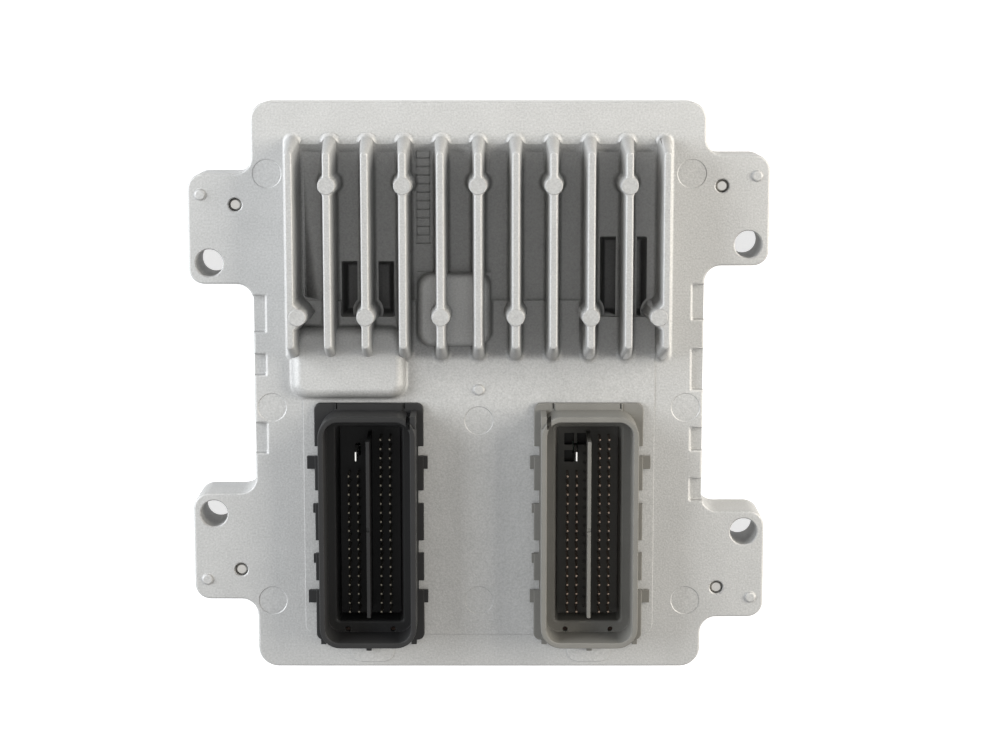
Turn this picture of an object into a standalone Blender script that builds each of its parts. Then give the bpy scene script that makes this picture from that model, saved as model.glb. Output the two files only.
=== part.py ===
"""Engine control unit: finned die-cast housing with two open pin headers.

The part lies on its back. The origin is on the underside, in the middle of the housing,
+X runs across the fins, +Y along them, and +Z points out of the face that the connectors enter.
"""

import math

import bmesh
import bpy
from mathutils import Matrix, Vector

MM = 0.001

# Clearance between two pieces that touch or fit in each other
FIT = 0.3 * MM

# Housing: plate, side wall and mounting ears, each ear a margin away from the plate's end
FLANGE_WIDTH = 122.4 * MM
FLANGE_LENGTH = 156.0 * MM
UPPER_CORNER = 4.5 * MM
LOWER_CORNER = 5.5 * MM
HOUSING_DEPTH = 16.0 * MM
TOP_WALL = 3.0 * MM
SIDE_WALL = 3.2 * MM
EDGE_BREAK = 0.6 * MM

EAR_REACH = 17.3 * MM
EAR_LENGTH = 29.9 * MM
EAR_CORNER = 4.2 * MM
EAR_ROOT = 4.5 * MM
LEFT_EAR_MARGIN = 19.2 * MM
RIGHT_EAR_MARGIN = 14.15 * MM
EAR_CORE_WALL = 2.2 * MM
EAR_CORE_CORNER = 1.5 * MM

BOLT_HOLE = 7.4 * MM
BOLT_CHAMFER = 0.45 * MM
BOLT_INSET = 5.6 * MM
BOLT_OFFSET = 9.2 * MM
BOLT_BOSS_WALL = 2.6 * MM

# Plateau and pads raised on the face
PLATEAU_HALF_WIDTH = 48.0 * MM
PLATEAU_MARGIN = 9.2 * MM
PLATEAU_HEIGHT = 0.35 * MM
PLATEAU_CORNER = 3.0 * MM
PAD_WIDTH = 12.0 * MM
PAD_MARGIN = 1.4 * MM
PAD_HEIGHT = 0.3 * MM
DOME_RADIUS = 1.8 * MM
DOME_HEIGHT = 0.7 * MM
DOME_INSET = 3.5 * MM
DOME_OFFSET = 9.3 * MM

# Cooling fins
FIN_COUNT = 11
FIN_PITCH = 10.0 * MM
FIN_HEIGHT = 14.5 * MM
FIN_TOP_WIDTH = 2.0 * MM
FIN_DRAFT = 0.8 * MM
FIN_ROOT_FLARE = 0.7 * MM
FIN_ROOT_RISE = 1.2 * MM
FIN_EDGE = 0.4 * MM
FIN_HEADER_GAP = 11.5 * MM
FIN_MARGIN = 9.0 * MM
FIN_LOW_SLOPE = 6.0 * MM
FIN_HIGH_SLOPE = 3.6 * MM
FIN_FLOOR_START = 16.5 * MM
FIN_FLOOR_STOP = 2.8 * MM
FIN_FLOOR_DEPTH = 0.8 * MM
FIN_BITE = 0.6 * MM
POST_RADIUS = 2.35 * MM
POST_EDGE = 0.3 * MM
POST_STANDOFF = 0.2 * MM
UPPER_POST_SETBACK = 12.5 * MM
LOWER_POST_SETBACK = 13.6 * MM
END_POST_SHIFT = 1.9 * MM

# Wells between the fins, down to the power chips
WELL_FLOOR = 1.3 * MM
WELL_WALL = 1.6 * MM
WELL_DRAFT = 1.3 * MM
WELL_CORNER = 2.5 * MM
WELL_SETBACK = 12.0 * MM
LEFT_WELL_FIN = 2
LEFT_WELL_WIDTH = 14.8 * MM
LEFT_WELL_LENGTH = 15.3 * MM
RIGHT_WELL_FIN = 9
RIGHT_WELL_SHIFT = -0.8 * MM
RIGHT_WELL_WIDTH = 13.2 * MM
RIGHT_WELL_LENGTH = 22.0 * MM

# Raised covers over the tall components
BUMP_WALL = 2.4 * MM
BUMP_DRAFT = 0.12
COIL_BUMP_FIN = 4
COIL_BUMP_SHIFT = 3.4 * MM
COIL_BUMP_SETBACK = 14.2 * MM
COIL_BUMP_SIZE = (20.0 * MM, 20.0 * MM)
COIL_BUMP_HEIGHT = 4.0 * MM
COIL_BUMP_CORNER = 3.5 * MM
COIL_BUMP_ROUND = 1.6 * MM
CAPACITOR_BUMP_MARGIN = 10.1 * MM
CAPACITOR_BUMP_SETBACK = -0.55 * MM
CAPACITOR_BUMP_SIZE = (31.3 * MM, 20.1 * MM)
CAPACITOR_BUMP_HEIGHT = 4.5 * MM
CAPACITOR_BUMP_CORNER = 3.6 * MM
CAPACITOR_BUMP_ROUND = 2.6 * MM

# Recesses along the side edges, as distance from the inner end of an ear, and length
EDGE_RECESS_REACH = 3.2 * MM
EDGE_RECESS_DEPTH = 2.0 * MM
UPPER_LEFT_RECESSES = ((8.1 * MM, 9.8 * MM), (22.1 * MM, 5.6 * MM))
LOWER_LEFT_RECESSES = ((15.4 * MM, 8.3 * MM),)
UPPER_RIGHT_RECESSES = ((9.95 * MM, 9.4 * MM), (28.45 * MM, 11.1 * MM))
LOWER_RIGHT_RECESSES = ((20.15 * MM, 6.1 * MM), (6.05 * MM, 6.0 * MM))

# Back cover, its screws and its seal
COVER_THICKNESS = 2.0 * MM
COVER_INSET = 0.2 * MM
COVER_TAB_EDGE = 4.2 * MM
COVER_TAB_CORNER = 3.6 * MM
COVER_TAB_ROOT = 1.0 * MM
SCREW_INSET = 12.85 * MM
SCREW_OFFSET = 6.6 * MM
SCREW_SHANK = 3.3 * MM
SCREW_HOLE = 4.5 * MM
SCREW_HOLE_CHAMFER = 0.3 * MM
SCREW_HEAD = 6.0 * MM
SCREW_HEAD_HEIGHT = 1.5 * MM
SCREW_HEAD_EDGE = 0.2 * MM
SCREW_RECESS = 0.6 * MM
SCREW_SINK = 0.5 * MM
DRIVE_SIZE = 2.5 * MM
DRIVE_DEPTH = 1.0 * MM
SEAL_WIDTH = 1.0 * MM
SEAL_HEIGHT = 1.0 * MM

# Circuit board and the screws that hold it
BOARD_THICKNESS = 1.6 * MM
BOARD_MARGIN = 0.8 * MM
BOARD_CORNER = 2.5 * MM
BOARD_POST_SIDE_MARGIN = 8.2 * MM
BOARD_POST_END_MARGIN = 8.5 * MM
BOARD_POST_RADIUS = 3.2 * MM
BOARD_SCREW_SHANK = 2.2 * MM
BOARD_SCREW_HEAD = 4.6 * MM
BOARD_SCREW_HEAD_HEIGHT = 1.0 * MM
BOARD_SCREW_LENGTH = 6.0 * MM

# Components on the board
CHIP_HEIGHT = 1.2 * MM
CHIP_BREAK = 0.25 * MM
THERMAL_PAD_HEIGHT = 0.7 * MM
THERMAL_PAD_MARGIN = 0.6 * MM
CHIP_ROW_SETBACK = 14.0 * MM
MICROCONTROLLER_X = 10.5 * MM
MICROCONTROLLER_SIZE = (20.0 * MM, 20.0 * MM)
MEMORY_CHIP_X = -18.0 * MM
MEMORY_CHIP_SIZE = (9.0 * MM, 7.0 * MM)
SUPPLY_CHIP_MARGIN = 18.4 * MM
SUPPLY_CHIP_SIZE = (12.0 * MM, 10.0 * MM)
THROTTLE_DRIVER_SIZE = (14.0 * MM, 14.0 * MM)
INJECTOR_DRIVER_SIZE = (12.0 * MM, 12.0 * MM)
IGNITION_DRIVER_SIZE = (11.0 * MM, 17.0 * MM)
CRYSTAL_X = 25.0 * MM
CRYSTAL_SIZE = (5.0 * MM, 3.2 * MM)
CRYSTAL_HEIGHT = 1.1 * MM
CAPACITOR_COUNT = 3
CAPACITOR_DIAMETER = 8.0 * MM
CAPACITOR_PITCH = 8.9 * MM
CAPACITOR_HEIGHT = 10.5 * MM
CAPACITOR_BASE = 1.4 * MM
CAPACITOR_FOOT_CORNER = 1.0 * MM
COIL_SIZE = 12.5 * MM
COIL_HEIGHT = 9.0 * MM
COIL_CORNER = 2.5 * MM

# Pin headers
HEADER_SIDE_MARGIN = 31.2 * MM
HEADER_MARGIN = 8.1 * MM
SOCKET_WIDTH = 23.2 * MM
SOCKET_END = 6.27 * MM
SOCKET_CORNER = 4.0 * MM
SHROUD_WALL = 1.5 * MM
SHROUD_HEIGHT = 14.0 * MM
RIM_BREAK = 0.3 * MM
BASE_WIDTH = 29.8 * MM
BASE_END = 1.3 * MM
BASE_SHIFT = 0.5 * MM
BASE_THICKNESS = 1.5 * MM
BASE_CORNER = 1.8 * MM
SIDE_LEDGE = 2.65 * MM
END_LEDGE = 3.2 * MM
PIN_FLOOR_DEPTH = 4.5 * MM
PIN_FLOOR_CORNER = 1.0 * MM
NECK_WALL = 2.1 * MM
NECK_CORNER = 1.6 * MM
NECK_SEAL_WIDTH = 1.4 * MM
NECK_SEAL_HEIGHT = 1.2 * MM
LUG_REACH = 1.6 * MM
LUG_LENGTH = 3.5 * MM
LUG_PLACES = (17.2 * MM, -20.4 * MM)
LUG_SHIFT = 0.5 * MM
BASE_NOTCH_DEPTH = 1.5 * MM
BASE_NOTCHES = ((20.4 * MM, 2.8 * MM), (7.6 * MM, 3.8 * MM), (-6.35 * MM, 3.7 * MM),
                (-17.2 * MM, 2.8 * MM))
FOOT_WIDTH = 1.5 * MM
CORNER_FOOT_INSET = 2.4 * MM
CORNER_FOOT_REACH = 1.35 * MM
MIDDLE_FOOT_REACH = 3.2 * MM
NUB_REACH = 0.6 * MM
NUB_LENGTH = 2.5 * MM
NUB_PLACES = (4.4 * MM, -9.7 * MM)
STRIP_WIDTH = 18.4 * MM
STRIP_HEIGHT = 0.4 * MM
STRIP_SETBACK = 0.15 * MM
GUIDE_WIDTH = 1.9 * MM
GUIDE_REACH = 3.4 * MM
GUIDE_DROP = 0.6 * MM
LEDGE_HOLE = 1.6 * MM
LEDGE_HOLE_DEPTH = 1.5 * MM
LEDGE_HOLE_SPREAD = 6.25 * MM
PEG_RADIUS = 1.3 * MM
PEG_SPREAD = 26.0 * MM

# Contacts of a header
PIN_PITCH = 2.54 * MM
PIN_ROWS = 20
SHORT_ROWS = 16
PIN_SHIFT = -0.43 * MM
PIN_COLUMNS = (3.12 * MM, 5.66 * MM)
PIN_SIZE = 0.64 * MM
PIN_ABOVE_FACE = 2.9 * MM
PIN_POINT = 0.7 * MM
RIB_THICKNESS = 1.0 * MM
RIB_ABOVE_FACE = 9.5 * MM
RIB_NOTCH = 1.2 * MM
BLADE_X = -3.4 * MM
BLADE_ROW = 1.55
BLADE_THICKNESS = 0.8 * MM
BLADE_WIDTH = 2.8 * MM
BLADE_ABOVE_FACE = 6.5 * MM
BLADE_POINT = 1.2 * MM
BLADE_TIP = 0.3 * MM

# Facets
ARC_STEPS = 3
SMALL_ARC_STEPS = 2
ROUND_SIDES = 16
SCREW_HOLE_SIDES = 12
POST_SIDES = 8
SMALL_ROUND_SIDES = 8
HIDDEN_SIDES = 6
DRIVE_SIDES = 6
CHAMFER_STEPS = 1
SMOOTH_ANGLE = math.radians(35)
LEAST_RADIUS = 0.05 * MM

# Overlap that a Boolean tool has with what it joins or cuts
BITE = 0.5 * MM
PAST = 1.0 * MM

# Heights worked out from the stack: cover, screw heads, board, chips, pads, wells
FACE = HOUSING_DEPTH
COVER_LOW = FIT
COVER_HIGH = COVER_LOW + COVER_THICKNESS
WALL_END = COVER_HIGH + FIT
BOARD_LOW = WALL_END + BOARD_SCREW_HEAD_HEIGHT + FIT
BOARD_HIGH = BOARD_LOW + BOARD_THICKNESS
SEAT = BOARD_HIGH + FIT
CHIP_TOP = SEAT + CHIP_HEIGHT
THERMAL_PAD_LOW = CHIP_TOP + FIT
THERMAL_PAD_HIGH = THERMAL_PAD_LOW + THERMAL_PAD_HEIGHT
WELL_UNDERSIDE = THERMAL_PAD_HIGH + FIT
WELL_BOTTOM = WELL_UNDERSIDE + WELL_FLOOR
CEILING = FACE - TOP_WALL
PLATEAU_TOP = FACE + PLATEAU_HEIGHT
FIN_TOP = FACE + FIN_HEIGHT

# Places worked out from the outline
HALF_WIDTH = FLANGE_WIDTH / 2
HALF_LENGTH = FLANGE_LENGTH / 2
EAR_EDGE = HALF_WIDTH + EAR_REACH
CAVITY_HALF_WIDTH = HALF_WIDTH - SIDE_WALL
CAVITY_HALF_LENGTH = HALF_LENGTH - SIDE_WALL
CAVITY_CORNER = max(UPPER_CORNER, LOWER_CORNER) - SIDE_WALL
COVER_HALF_WIDTH = HALF_WIDTH - COVER_INSET
COVER_HALF_LENGTH = HALF_LENGTH - COVER_INSET
LEFT_EAR_Y = HALF_LENGTH - LEFT_EAR_MARGIN - EAR_LENGTH / 2
RIGHT_EAR_Y = HALF_LENGTH - RIGHT_EAR_MARGIN - EAR_LENGTH / 2
PLATEAU_HALF_LENGTH = HALF_LENGTH - PLATEAU_MARGIN
BOARD_POST_X = HALF_WIDTH - BOARD_POST_SIDE_MARGIN
BOARD_POST_Y = HALF_LENGTH - BOARD_POST_END_MARGIN
EARS = ((-1, 1, LEFT_EAR_Y), (-1, -1, LEFT_EAR_Y), (1, 1, RIGHT_EAR_Y), (1, -1, RIGHT_EAR_Y))
EAR_RECESSES = (UPPER_LEFT_RECESSES, LOWER_LEFT_RECESSES, UPPER_RIGHT_RECESSES, LOWER_RIGHT_RECESSES)

# Header sizes and places worked out from the pins and the outline
GREY_HEADER_X = HALF_WIDTH - HEADER_SIDE_MARGIN
BLACK_HEADER_X = -GREY_HEADER_X
PIN_SPAN = (PIN_ROWS - 1) * PIN_PITCH
SOCKET_LENGTH = PIN_SPAN + 2 * SOCKET_END
SHROUD_WIDTH = SOCKET_WIDTH + 2 * SHROUD_WALL
SHROUD_LENGTH = SOCKET_LENGTH + 2 * SHROUD_WALL
BASE_LENGTH = SHROUD_LENGTH + 2 * BASE_END
PIN_FIELD_WIDTH = SOCKET_WIDTH - 2 * SIDE_LEDGE
PIN_FIELD_LENGTH = SOCKET_LENGTH - 2 * END_LEDGE
HEADER_Y = HEADER_MARGIN + BASE_LENGTH / 2 - BASE_SHIFT - HALF_LENGTH
BASE_LOW_Y = HEADER_Y + BASE_SHIFT - BASE_LENGTH / 2
BASE_HIGH_Y = HEADER_Y + BASE_SHIFT + BASE_LENGTH / 2
NECK_WIDTH = PIN_FIELD_WIDTH + 2 * NECK_WALL
NECK_LENGTH = PIN_FIELD_LENGTH + 2 * NECK_WALL
BASE_LOW = PLATEAU_TOP + FIT
BASE_HIGH = BASE_LOW + BASE_THICKNESS
RIM = FACE + SHROUD_HEIGHT
PIN_FLOOR = FACE - PIN_FLOOR_DEPTH
FIRST_PIN_Y = HEADER_Y + PIN_SHIFT + PIN_SPAN / 2
LAST_PIN_Y = FIRST_PIN_Y - PIN_SPAN
BLADE_Y = FIRST_PIN_Y - BLADE_ROW * PIN_PITCH
SEAL_REBATE_DEPTH = NECK_SEAL_HEIGHT + FIT

# Places in the fin field, which fills the plate from the headers to its upper end
FIRST_FIN_X = -(FIN_COUNT - 1) / 2 * FIN_PITCH
FIN_BASE_LOW_Y = BASE_HIGH_Y + FIN_HEADER_GAP
FIN_BASE_HIGH_Y = HALF_LENGTH - FIN_MARGIN
FIN_TOP_LOW_Y = FIN_BASE_LOW_Y + FIN_LOW_SLOPE
FIN_TOP_HIGH_Y = FIN_BASE_HIGH_Y - FIN_HIGH_SLOPE
FIN_FLOOR_LOW_Y = FIN_BASE_LOW_Y + FIN_FLOOR_START
FIN_FLOOR_HIGH_Y = FIN_BASE_HIGH_Y - FIN_FLOOR_STOP
UPPER_POST_Y = FIN_BASE_HIGH_Y - UPPER_POST_SETBACK
LOWER_POST_Y = FIN_BASE_LOW_Y + LOWER_POST_SETBACK
WELL_LOW_Y = FIN_BASE_LOW_Y + WELL_SETBACK
LEFT_WELL_X = FIRST_FIN_X + LEFT_WELL_FIN * FIN_PITCH
RIGHT_WELL_X = FIRST_FIN_X + RIGHT_WELL_FIN * FIN_PITCH + RIGHT_WELL_SHIFT
COIL_BUMP = (FIRST_FIN_X + COIL_BUMP_FIN * FIN_PITCH + COIL_BUMP_SHIFT, FIN_BASE_LOW_Y + COIL_BUMP_SETBACK)
CAPACITOR_BUMP = (CAPACITOR_BUMP_MARGIN + CAPACITOR_BUMP_SIZE[0] / 2 - HALF_WIDTH,
                  FIN_BASE_LOW_Y + CAPACITOR_BUMP_SETBACK)
CHIP_ROW_Y = FIN_BASE_HIGH_Y - CHIP_ROW_SETBACK
SUPPLY_CHIP_X = SUPPLY_CHIP_MARGIN - HALF_WIDTH

# Outlines: lists of points, anticlockwise


def rounded(corners, grow=0.0, steps=ARC_STEPS):
    """Outline through corners, each given with its radius, moved outwards by grow."""
    points = []
    for index, (corner, radius) in enumerate(corners):
        here = Vector(corner)
        before = Vector(corners[index - 1][0])
        after = Vector(corners[(index + 1) % len(corners)][0])
        inbound = (here - before).normalized()
        outbound = (after - here).normalized()
        side_in = Vector((inbound.y, -inbound.x))
        side_out = Vector((outbound.y, -outbound.x))
        moved = here + (side_in + side_out) * (grow / (1 + side_in.dot(side_out)))
        if radius == 0:
            points.append(moved)
            continue
        turn = math.atan2(inbound.cross(outbound), inbound.dot(outbound))
        hand = 1 if turn > 0 else -1
        bend = max(radius + hand * grow, LEAST_RADIUS)
        start = moved - inbound * bend * math.tan(abs(turn) / 2)
        centre = start - side_in * hand * bend
        for step in range(steps + 1):
            spoke = (start - centre)
            spoke.rotate(Matrix.Rotation(turn * step / steps, 2))
            points.append(centre + spoke)
    return points


def block_outline(centre, size, radius, grow=0.0, steps=ARC_STEPS):
    """Rectangle with round corners."""
    x, y = centre
    half_x, half_y = size[0] / 2, size[1] / 2
    corners = [((x - half_x, y - half_y), radius), ((x + half_x, y - half_y), radius),
               ((x + half_x, y + half_y), radius), ((x - half_x, y + half_y), radius)]
    return rounded(corners, grow, steps)


def span_outline(left, right, low, high, radius=0.0, steps=SMALL_ARC_STEPS):
    """Rectangle from its four sides."""
    centre = ((left + right) / 2, (low + high) / 2)
    return block_outline(centre, (right - left, high - low), radius, steps=steps)


def slot_outline(x, low, high, half_width, steps=SMALL_ARC_STEPS):
    """Straight slot along Y with half-round ends."""
    points = []
    for step in range(2 * steps + 1):
        angle = -math.pi + math.pi * step / (2 * steps)
        points.append(Vector((x + half_width * math.cos(angle),
                              low + half_width + half_width * math.sin(angle))))
    for step in range(2 * steps + 1):
        angle = math.pi * step / (2 * steps)
        points.append(Vector((x + half_width * math.cos(angle),
                              high - half_width + half_width * math.sin(angle))))
    return points


def plate_corners(half_width, half_length, reach, tab, left_tabs, right_tabs, ends):
    """Corners of a plate with tabs on both sides, anticlockwise from the lower left.

    tab holds a tab's half length, tip radius and root radius; the tab lists hold their middles,
    and ends holds the radii of the plate's lower and upper corners.
    """
    half_tab, tip, root = tab
    lower, upper = ends
    corners = [((-half_width, -half_length), lower), ((half_width, -half_length), lower)]
    for middle in sorted(right_tabs):
        corners += [((half_width, middle - half_tab), root),
                    ((half_width + reach, middle - half_tab), tip),
                    ((half_width + reach, middle + half_tab), tip),
                    ((half_width, middle + half_tab), root)]
    corners += [((half_width, half_length), upper), ((-half_width, half_length), upper)]
    for middle in sorted(left_tabs, reverse=True):
        corners += [((-half_width, middle + half_tab), root),
                    ((-half_width - reach, middle + half_tab), tip),
                    ((-half_width - reach, middle - half_tab), tip),
                    ((-half_width, middle - half_tab), root)]
    return corners


def housing_corners():
    """The housing's plate with its four ears."""
    return plate_corners(HALF_WIDTH, HALF_LENGTH, EAR_REACH, (EAR_LENGTH / 2, EAR_CORNER, EAR_ROOT),
                         (LEFT_EAR_Y, -LEFT_EAR_Y), (RIGHT_EAR_Y, -RIGHT_EAR_Y),
                         (LOWER_CORNER, UPPER_CORNER))


def cover_corners(ends):
    """The back cover, with a tab under each ear for its screw."""
    reach = EAR_EDGE - SCREW_INSET + COVER_TAB_EDGE - COVER_HALF_WIDTH
    left = LEFT_EAR_Y + SCREW_OFFSET
    right = RIGHT_EAR_Y + SCREW_OFFSET
    return plate_corners(COVER_HALF_WIDTH, COVER_HALF_LENGTH, reach,
                         (COVER_TAB_EDGE, COVER_TAB_CORNER, COVER_TAB_ROOT), (left, -left),
                         (right, -right), ends)


def wall_outline(grow):
    """Line along the middle of the side wall, moved out by grow."""
    return block_outline((0, 0), (FLANGE_WIDTH, FLANGE_LENGTH), LOWER_CORNER, grow - SIDE_WALL / 2,
                         SMALL_ARC_STEPS)


def screw_places():
    """Middles of the four cover screws."""
    return [(side * (EAR_EDGE - SCREW_INSET), end * (ear + SCREW_OFFSET)) for side, end, ear in EARS]


def bolt_places():
    """Middles of the four mounting holes."""
    return [(side * (EAR_EDGE - BOLT_INSET), end * (ear - BOLT_OFFSET)) for side, end, ear in EARS]


def board_screw_places():
    """Middles of the four screws that hold the board."""
    return [(side * BOARD_POST_X, end * BOARD_POST_Y) for side in (-1, 1) for end in (-1, 1)]


# Solids


def add_object(name, shape):
    """New object from a bmesh whose faces are made to point outwards."""
    bmesh.ops.recalc_face_normals(shape, faces=shape.faces)
    mesh = bpy.data.meshes.new(name)
    shape.to_mesh(mesh)
    shape.free()
    solid = bpy.data.objects.new(name, mesh)
    bpy.context.scene.collection.objects.link(solid)
    return solid


def loft_into(shape, levels, peak=None):
    """Closed skin through outlines with the same number of points, each given with its height."""
    rings = [[shape.verts.new((x, y, height)) for x, y in outline] for outline, height in levels]
    shape.faces.new(list(reversed(rings[0])))
    if peak is None:
        shape.faces.new(rings[-1])
    else:
        point = shape.verts.new(peak)
        for index, corner in enumerate(rings[-1]):
            shape.faces.new((corner, rings[-1][(index + 1) % len(rings[-1])], point))
    for low, high in zip(rings, rings[1:]):
        for index in range(len(low)):
            after = (index + 1) % len(low)
            shape.faces.new((low[index], low[after], high[after], high[index]))


def loft(name, levels):
    """Solid through outlines at rising heights."""
    shape = bmesh.new()
    loft_into(shape, levels)
    return add_object(name, shape)


def prism(name, outline, low, high):
    """Outline pulled straight up."""
    return loft(name, [(outline, low), (outline, high)])


def box(name, left, right, front, back, low, high):
    """Plain block from its six sides."""
    return prism(name, span_outline(left, right, front, back), low, high)


def turned(name, centre, profile, sides=ROUND_SIDES):
    """Round solid from a profile of radius and height, bottom to top."""
    levels = []
    for radius, height in profile:
        ring = []
        for side in range(sides):
            angle = 2 * math.pi * side / sides
            ring.append((centre[0] + radius * math.cos(angle), centre[1] + radius * math.sin(angle)))
        levels.append((ring, height))
    return loft(name, levels)


def ring_solid(name, outer, inner, low, high):
    """Closed loop between two outlines with the same number of points."""
    shape = bmesh.new()
    loops = [[shape.verts.new((x, y, height)) for x, y in outline]
             for outline, height in ((outer, low), (outer, high), (inner, high), (inner, low))]
    for loop, following in zip(loops, loops[1:] + loops[:1]):
        for index in range(len(loop)):
            after = (index + 1) % len(loop)
            shape.faces.new((loop[index], loop[after], following[after], following[index]))
    return add_object(name, shape)


def combine(solid, tools, operation):
    """Boolean of a solid with a list of tools, which are used up."""
    group = bpy.data.collections.new(solid.name + "_tools")
    for tool in tools:
        group.objects.link(tool)
    modifier = solid.modifiers.new("tools", "BOOLEAN")
    modifier.operation = operation
    modifier.solver = "EXACT"
    modifier.operand_type = "COLLECTION"
    modifier.collection = group
    bpy.context.view_layer.update()
    depsgraph = bpy.context.evaluated_depsgraph_get()
    shaped = bpy.data.meshes.new_from_object(solid.evaluated_get(depsgraph))
    solid.modifiers.clear()
    solid.data = shaped
    for tool in tools:
        bpy.data.objects.remove(tool)
    bpy.data.collections.remove(group)


def join(solid, tools):
    """Unite the tools with the solid."""
    combine(solid, tools, "UNION")


def cut(solid, tools):
    """Take the tools away from the solid."""
    combine(solid, tools, "DIFFERENCE")


def finish(solid, material):
    """Give a solid its material and its smooth and sharp edges."""
    mesh = solid.data
    mesh.materials.clear()
    mesh.materials.append(material)
    for polygon in mesh.polygons:
        polygon.material_index = 0
    mesh.shade_smooth()
    mesh.set_sharp_from_angle(angle=SMOOTH_ANGLE)


def material(name, colour, roughness, metallic=0.0):
    """Principled material."""
    made = bpy.data.materials.new(name)
    made.use_nodes = True
    shader = made.node_tree.nodes["Principled BSDF"]
    shader.inputs["Base Color"].default_value = (*colour, 1.0)
    shader.inputs["Roughness"].default_value = roughness
    shader.inputs["Metallic"].default_value = metallic
    return made


# Housing features


def fin(index):
    """One cooling fin: flared at its root, drafted, and broken along its top edge."""
    x = fin_x(index)
    low = FACE - FIN_FLOOR_DEPTH - FIN_BITE
    root = FACE - FIN_FLOOR_DEPTH
    base_half = FIN_TOP_WIDTH / 2 + FIN_DRAFT
    levels = []
    for height, half, along in ((low, base_half + FIN_ROOT_FLARE, 0.0),
                                (root, base_half + FIN_ROOT_FLARE, 0.0),
                                (root + FIN_ROOT_RISE, base_half, FIN_ROOT_RISE / FIN_HEIGHT),
                                (FIN_TOP - FIN_EDGE, FIN_TOP_WIDTH / 2, 1.0)):
        start = FIN_BASE_LOW_Y + (FIN_TOP_LOW_Y - FIN_BASE_LOW_Y) * along
        end = FIN_BASE_HIGH_Y + (FIN_TOP_HIGH_Y - FIN_BASE_HIGH_Y) * along
        levels.append((slot_outline(x, start, end, half), height))
    crest = slot_outline(x, FIN_TOP_LOW_Y + FIN_EDGE, FIN_TOP_HIGH_Y - FIN_EDGE,
                         FIN_TOP_WIDTH / 2 - FIN_EDGE)
    levels.append((crest, FIN_TOP))
    return loft("fin", levels)


def fin_x(index):
    """Middle of a fin, counted from the left."""
    return FIRST_FIN_X + index * FIN_PITCH


def fin_post(x, y):
    """Round ejector post on a fin, a little higher than the fin."""
    top = FIN_TOP + POST_STANDOFF
    profile = [(POST_RADIUS + FIN_DRAFT, FACE - FIN_FLOOR_DEPTH - FIN_BITE / 2),
               (POST_RADIUS, top - POST_EDGE), (POST_RADIUS - POST_EDGE, top)]
    return turned("fin_post", (x, y), profile, POST_SIDES)


def fin_posts():
    """Posts in two rows: the upper on every second fin, the lower on those between."""
    posts = []
    for index in range(FIN_COUNT):
        if index % 2:
            posts.append(fin_post(fin_x(index), UPPER_POST_Y))
        else:
            inward = 0.0
            if index == 0:
                inward = END_POST_SHIFT
            if index == FIN_COUNT - 1:
                inward = -END_POST_SHIFT
            posts.append(fin_post(fin_x(index) + inward, LOWER_POST_Y))
    return posts


def wells():
    """Middle and size of each well in the face."""
    left = ((LEFT_WELL_X, WELL_LOW_Y + LEFT_WELL_LENGTH / 2), (LEFT_WELL_WIDTH, LEFT_WELL_LENGTH))
    right = ((RIGHT_WELL_X, WELL_LOW_Y + RIGHT_WELL_LENGTH / 2), (RIGHT_WELL_WIDTH, RIGHT_WELL_LENGTH))
    return left, right


def well_shell(well):
    """Wall of a well under the plate."""
    low = block_outline(*well, WELL_CORNER, WELL_WALL - WELL_DRAFT, SMALL_ARC_STEPS)
    high = block_outline(*well, WELL_CORNER, WELL_WALL, SMALL_ARC_STEPS)
    return loft("well_shell", [(low, WELL_UNDERSIDE), (high, CEILING + BITE)])


def well_hollow(well):
    """Drafted hollow of a well."""
    low = block_outline(*well, WELL_CORNER, -WELL_DRAFT, SMALL_ARC_STEPS)
    high = block_outline(*well, WELL_CORNER, 0.0, SMALL_ARC_STEPS)
    return loft("well_hollow", [(low, WELL_BOTTOM), (high, FACE), (high, PLATEAU_TOP + PAST)])


def well_fin(well, x):
    """Foot of the fin that runs down into a well."""
    (_, y), (_, length) = well
    half = FIN_TOP_WIDTH / 2 + FIN_DRAFT
    high = FACE - FIN_FLOOR_DEPTH
    slim = span_outline(x - half, x + half, y - length / 2 - BITE, y + length / 2 + BITE)
    wide = span_outline(x - half - FIN_DRAFT, x + half + FIN_DRAFT,
                        y - length / 2 + BITE, y + length / 2 - BITE)
    return loft("well_fin", [(wide, WELL_BOTTOM - BITE), (slim, high)])


def bump(name, centre, size, height, corner, edge):
    """Raised cover with a rounded edge."""
    foot = block_outline(centre, size, corner, 0.0)
    levels = [(foot, FACE - BITE), (foot, FACE)]
    for step in range(SMALL_ARC_STEPS + 1):
        angle = math.pi / 2 * step / SMALL_ARC_STEPS
        inset = edge * (1 - math.cos(angle)) + (height - edge) * BUMP_DRAFT
        levels.append((block_outline(centre, size, corner, -inset),
                       FACE + height - edge + edge * math.sin(angle)))
    return loft(name, levels)


def bump_hollow(name, centre, size, height, corner):
    """Room under a raised cover."""
    inner = block_outline(centre, size, corner, -BUMP_WALL, SMALL_ARC_STEPS)
    slim = block_outline(centre, size, corner, -BUMP_WALL - EDGE_BREAK, SMALL_ARC_STEPS)
    top = FACE + height - BUMP_WALL
    return loft(name, [(inner, CEILING - PAST), (inner, top - EDGE_BREAK), (slim, top)])


def neck_outline(x, grow=0.0):
    """Section of a header where it goes through the housing."""
    return block_outline((x, HEADER_Y), (NECK_WIDTH, NECK_LENGTH), NECK_CORNER, grow, SMALL_ARC_STEPS)


def header_openings(x):
    """Aperture for a header's neck and the rebate for its seal."""
    rebate = 2 * FIT + NECK_SEAL_WIDTH
    return [prism("aperture", neck_outline(x, FIT), CEILING - PAST, PLATEAU_TOP + PAST),
            prism("seal_rebate", neck_outline(x, rebate), PLATEAU_TOP - SEAL_REBATE_DEPTH,
                  PLATEAU_TOP + PAST)]


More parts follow.
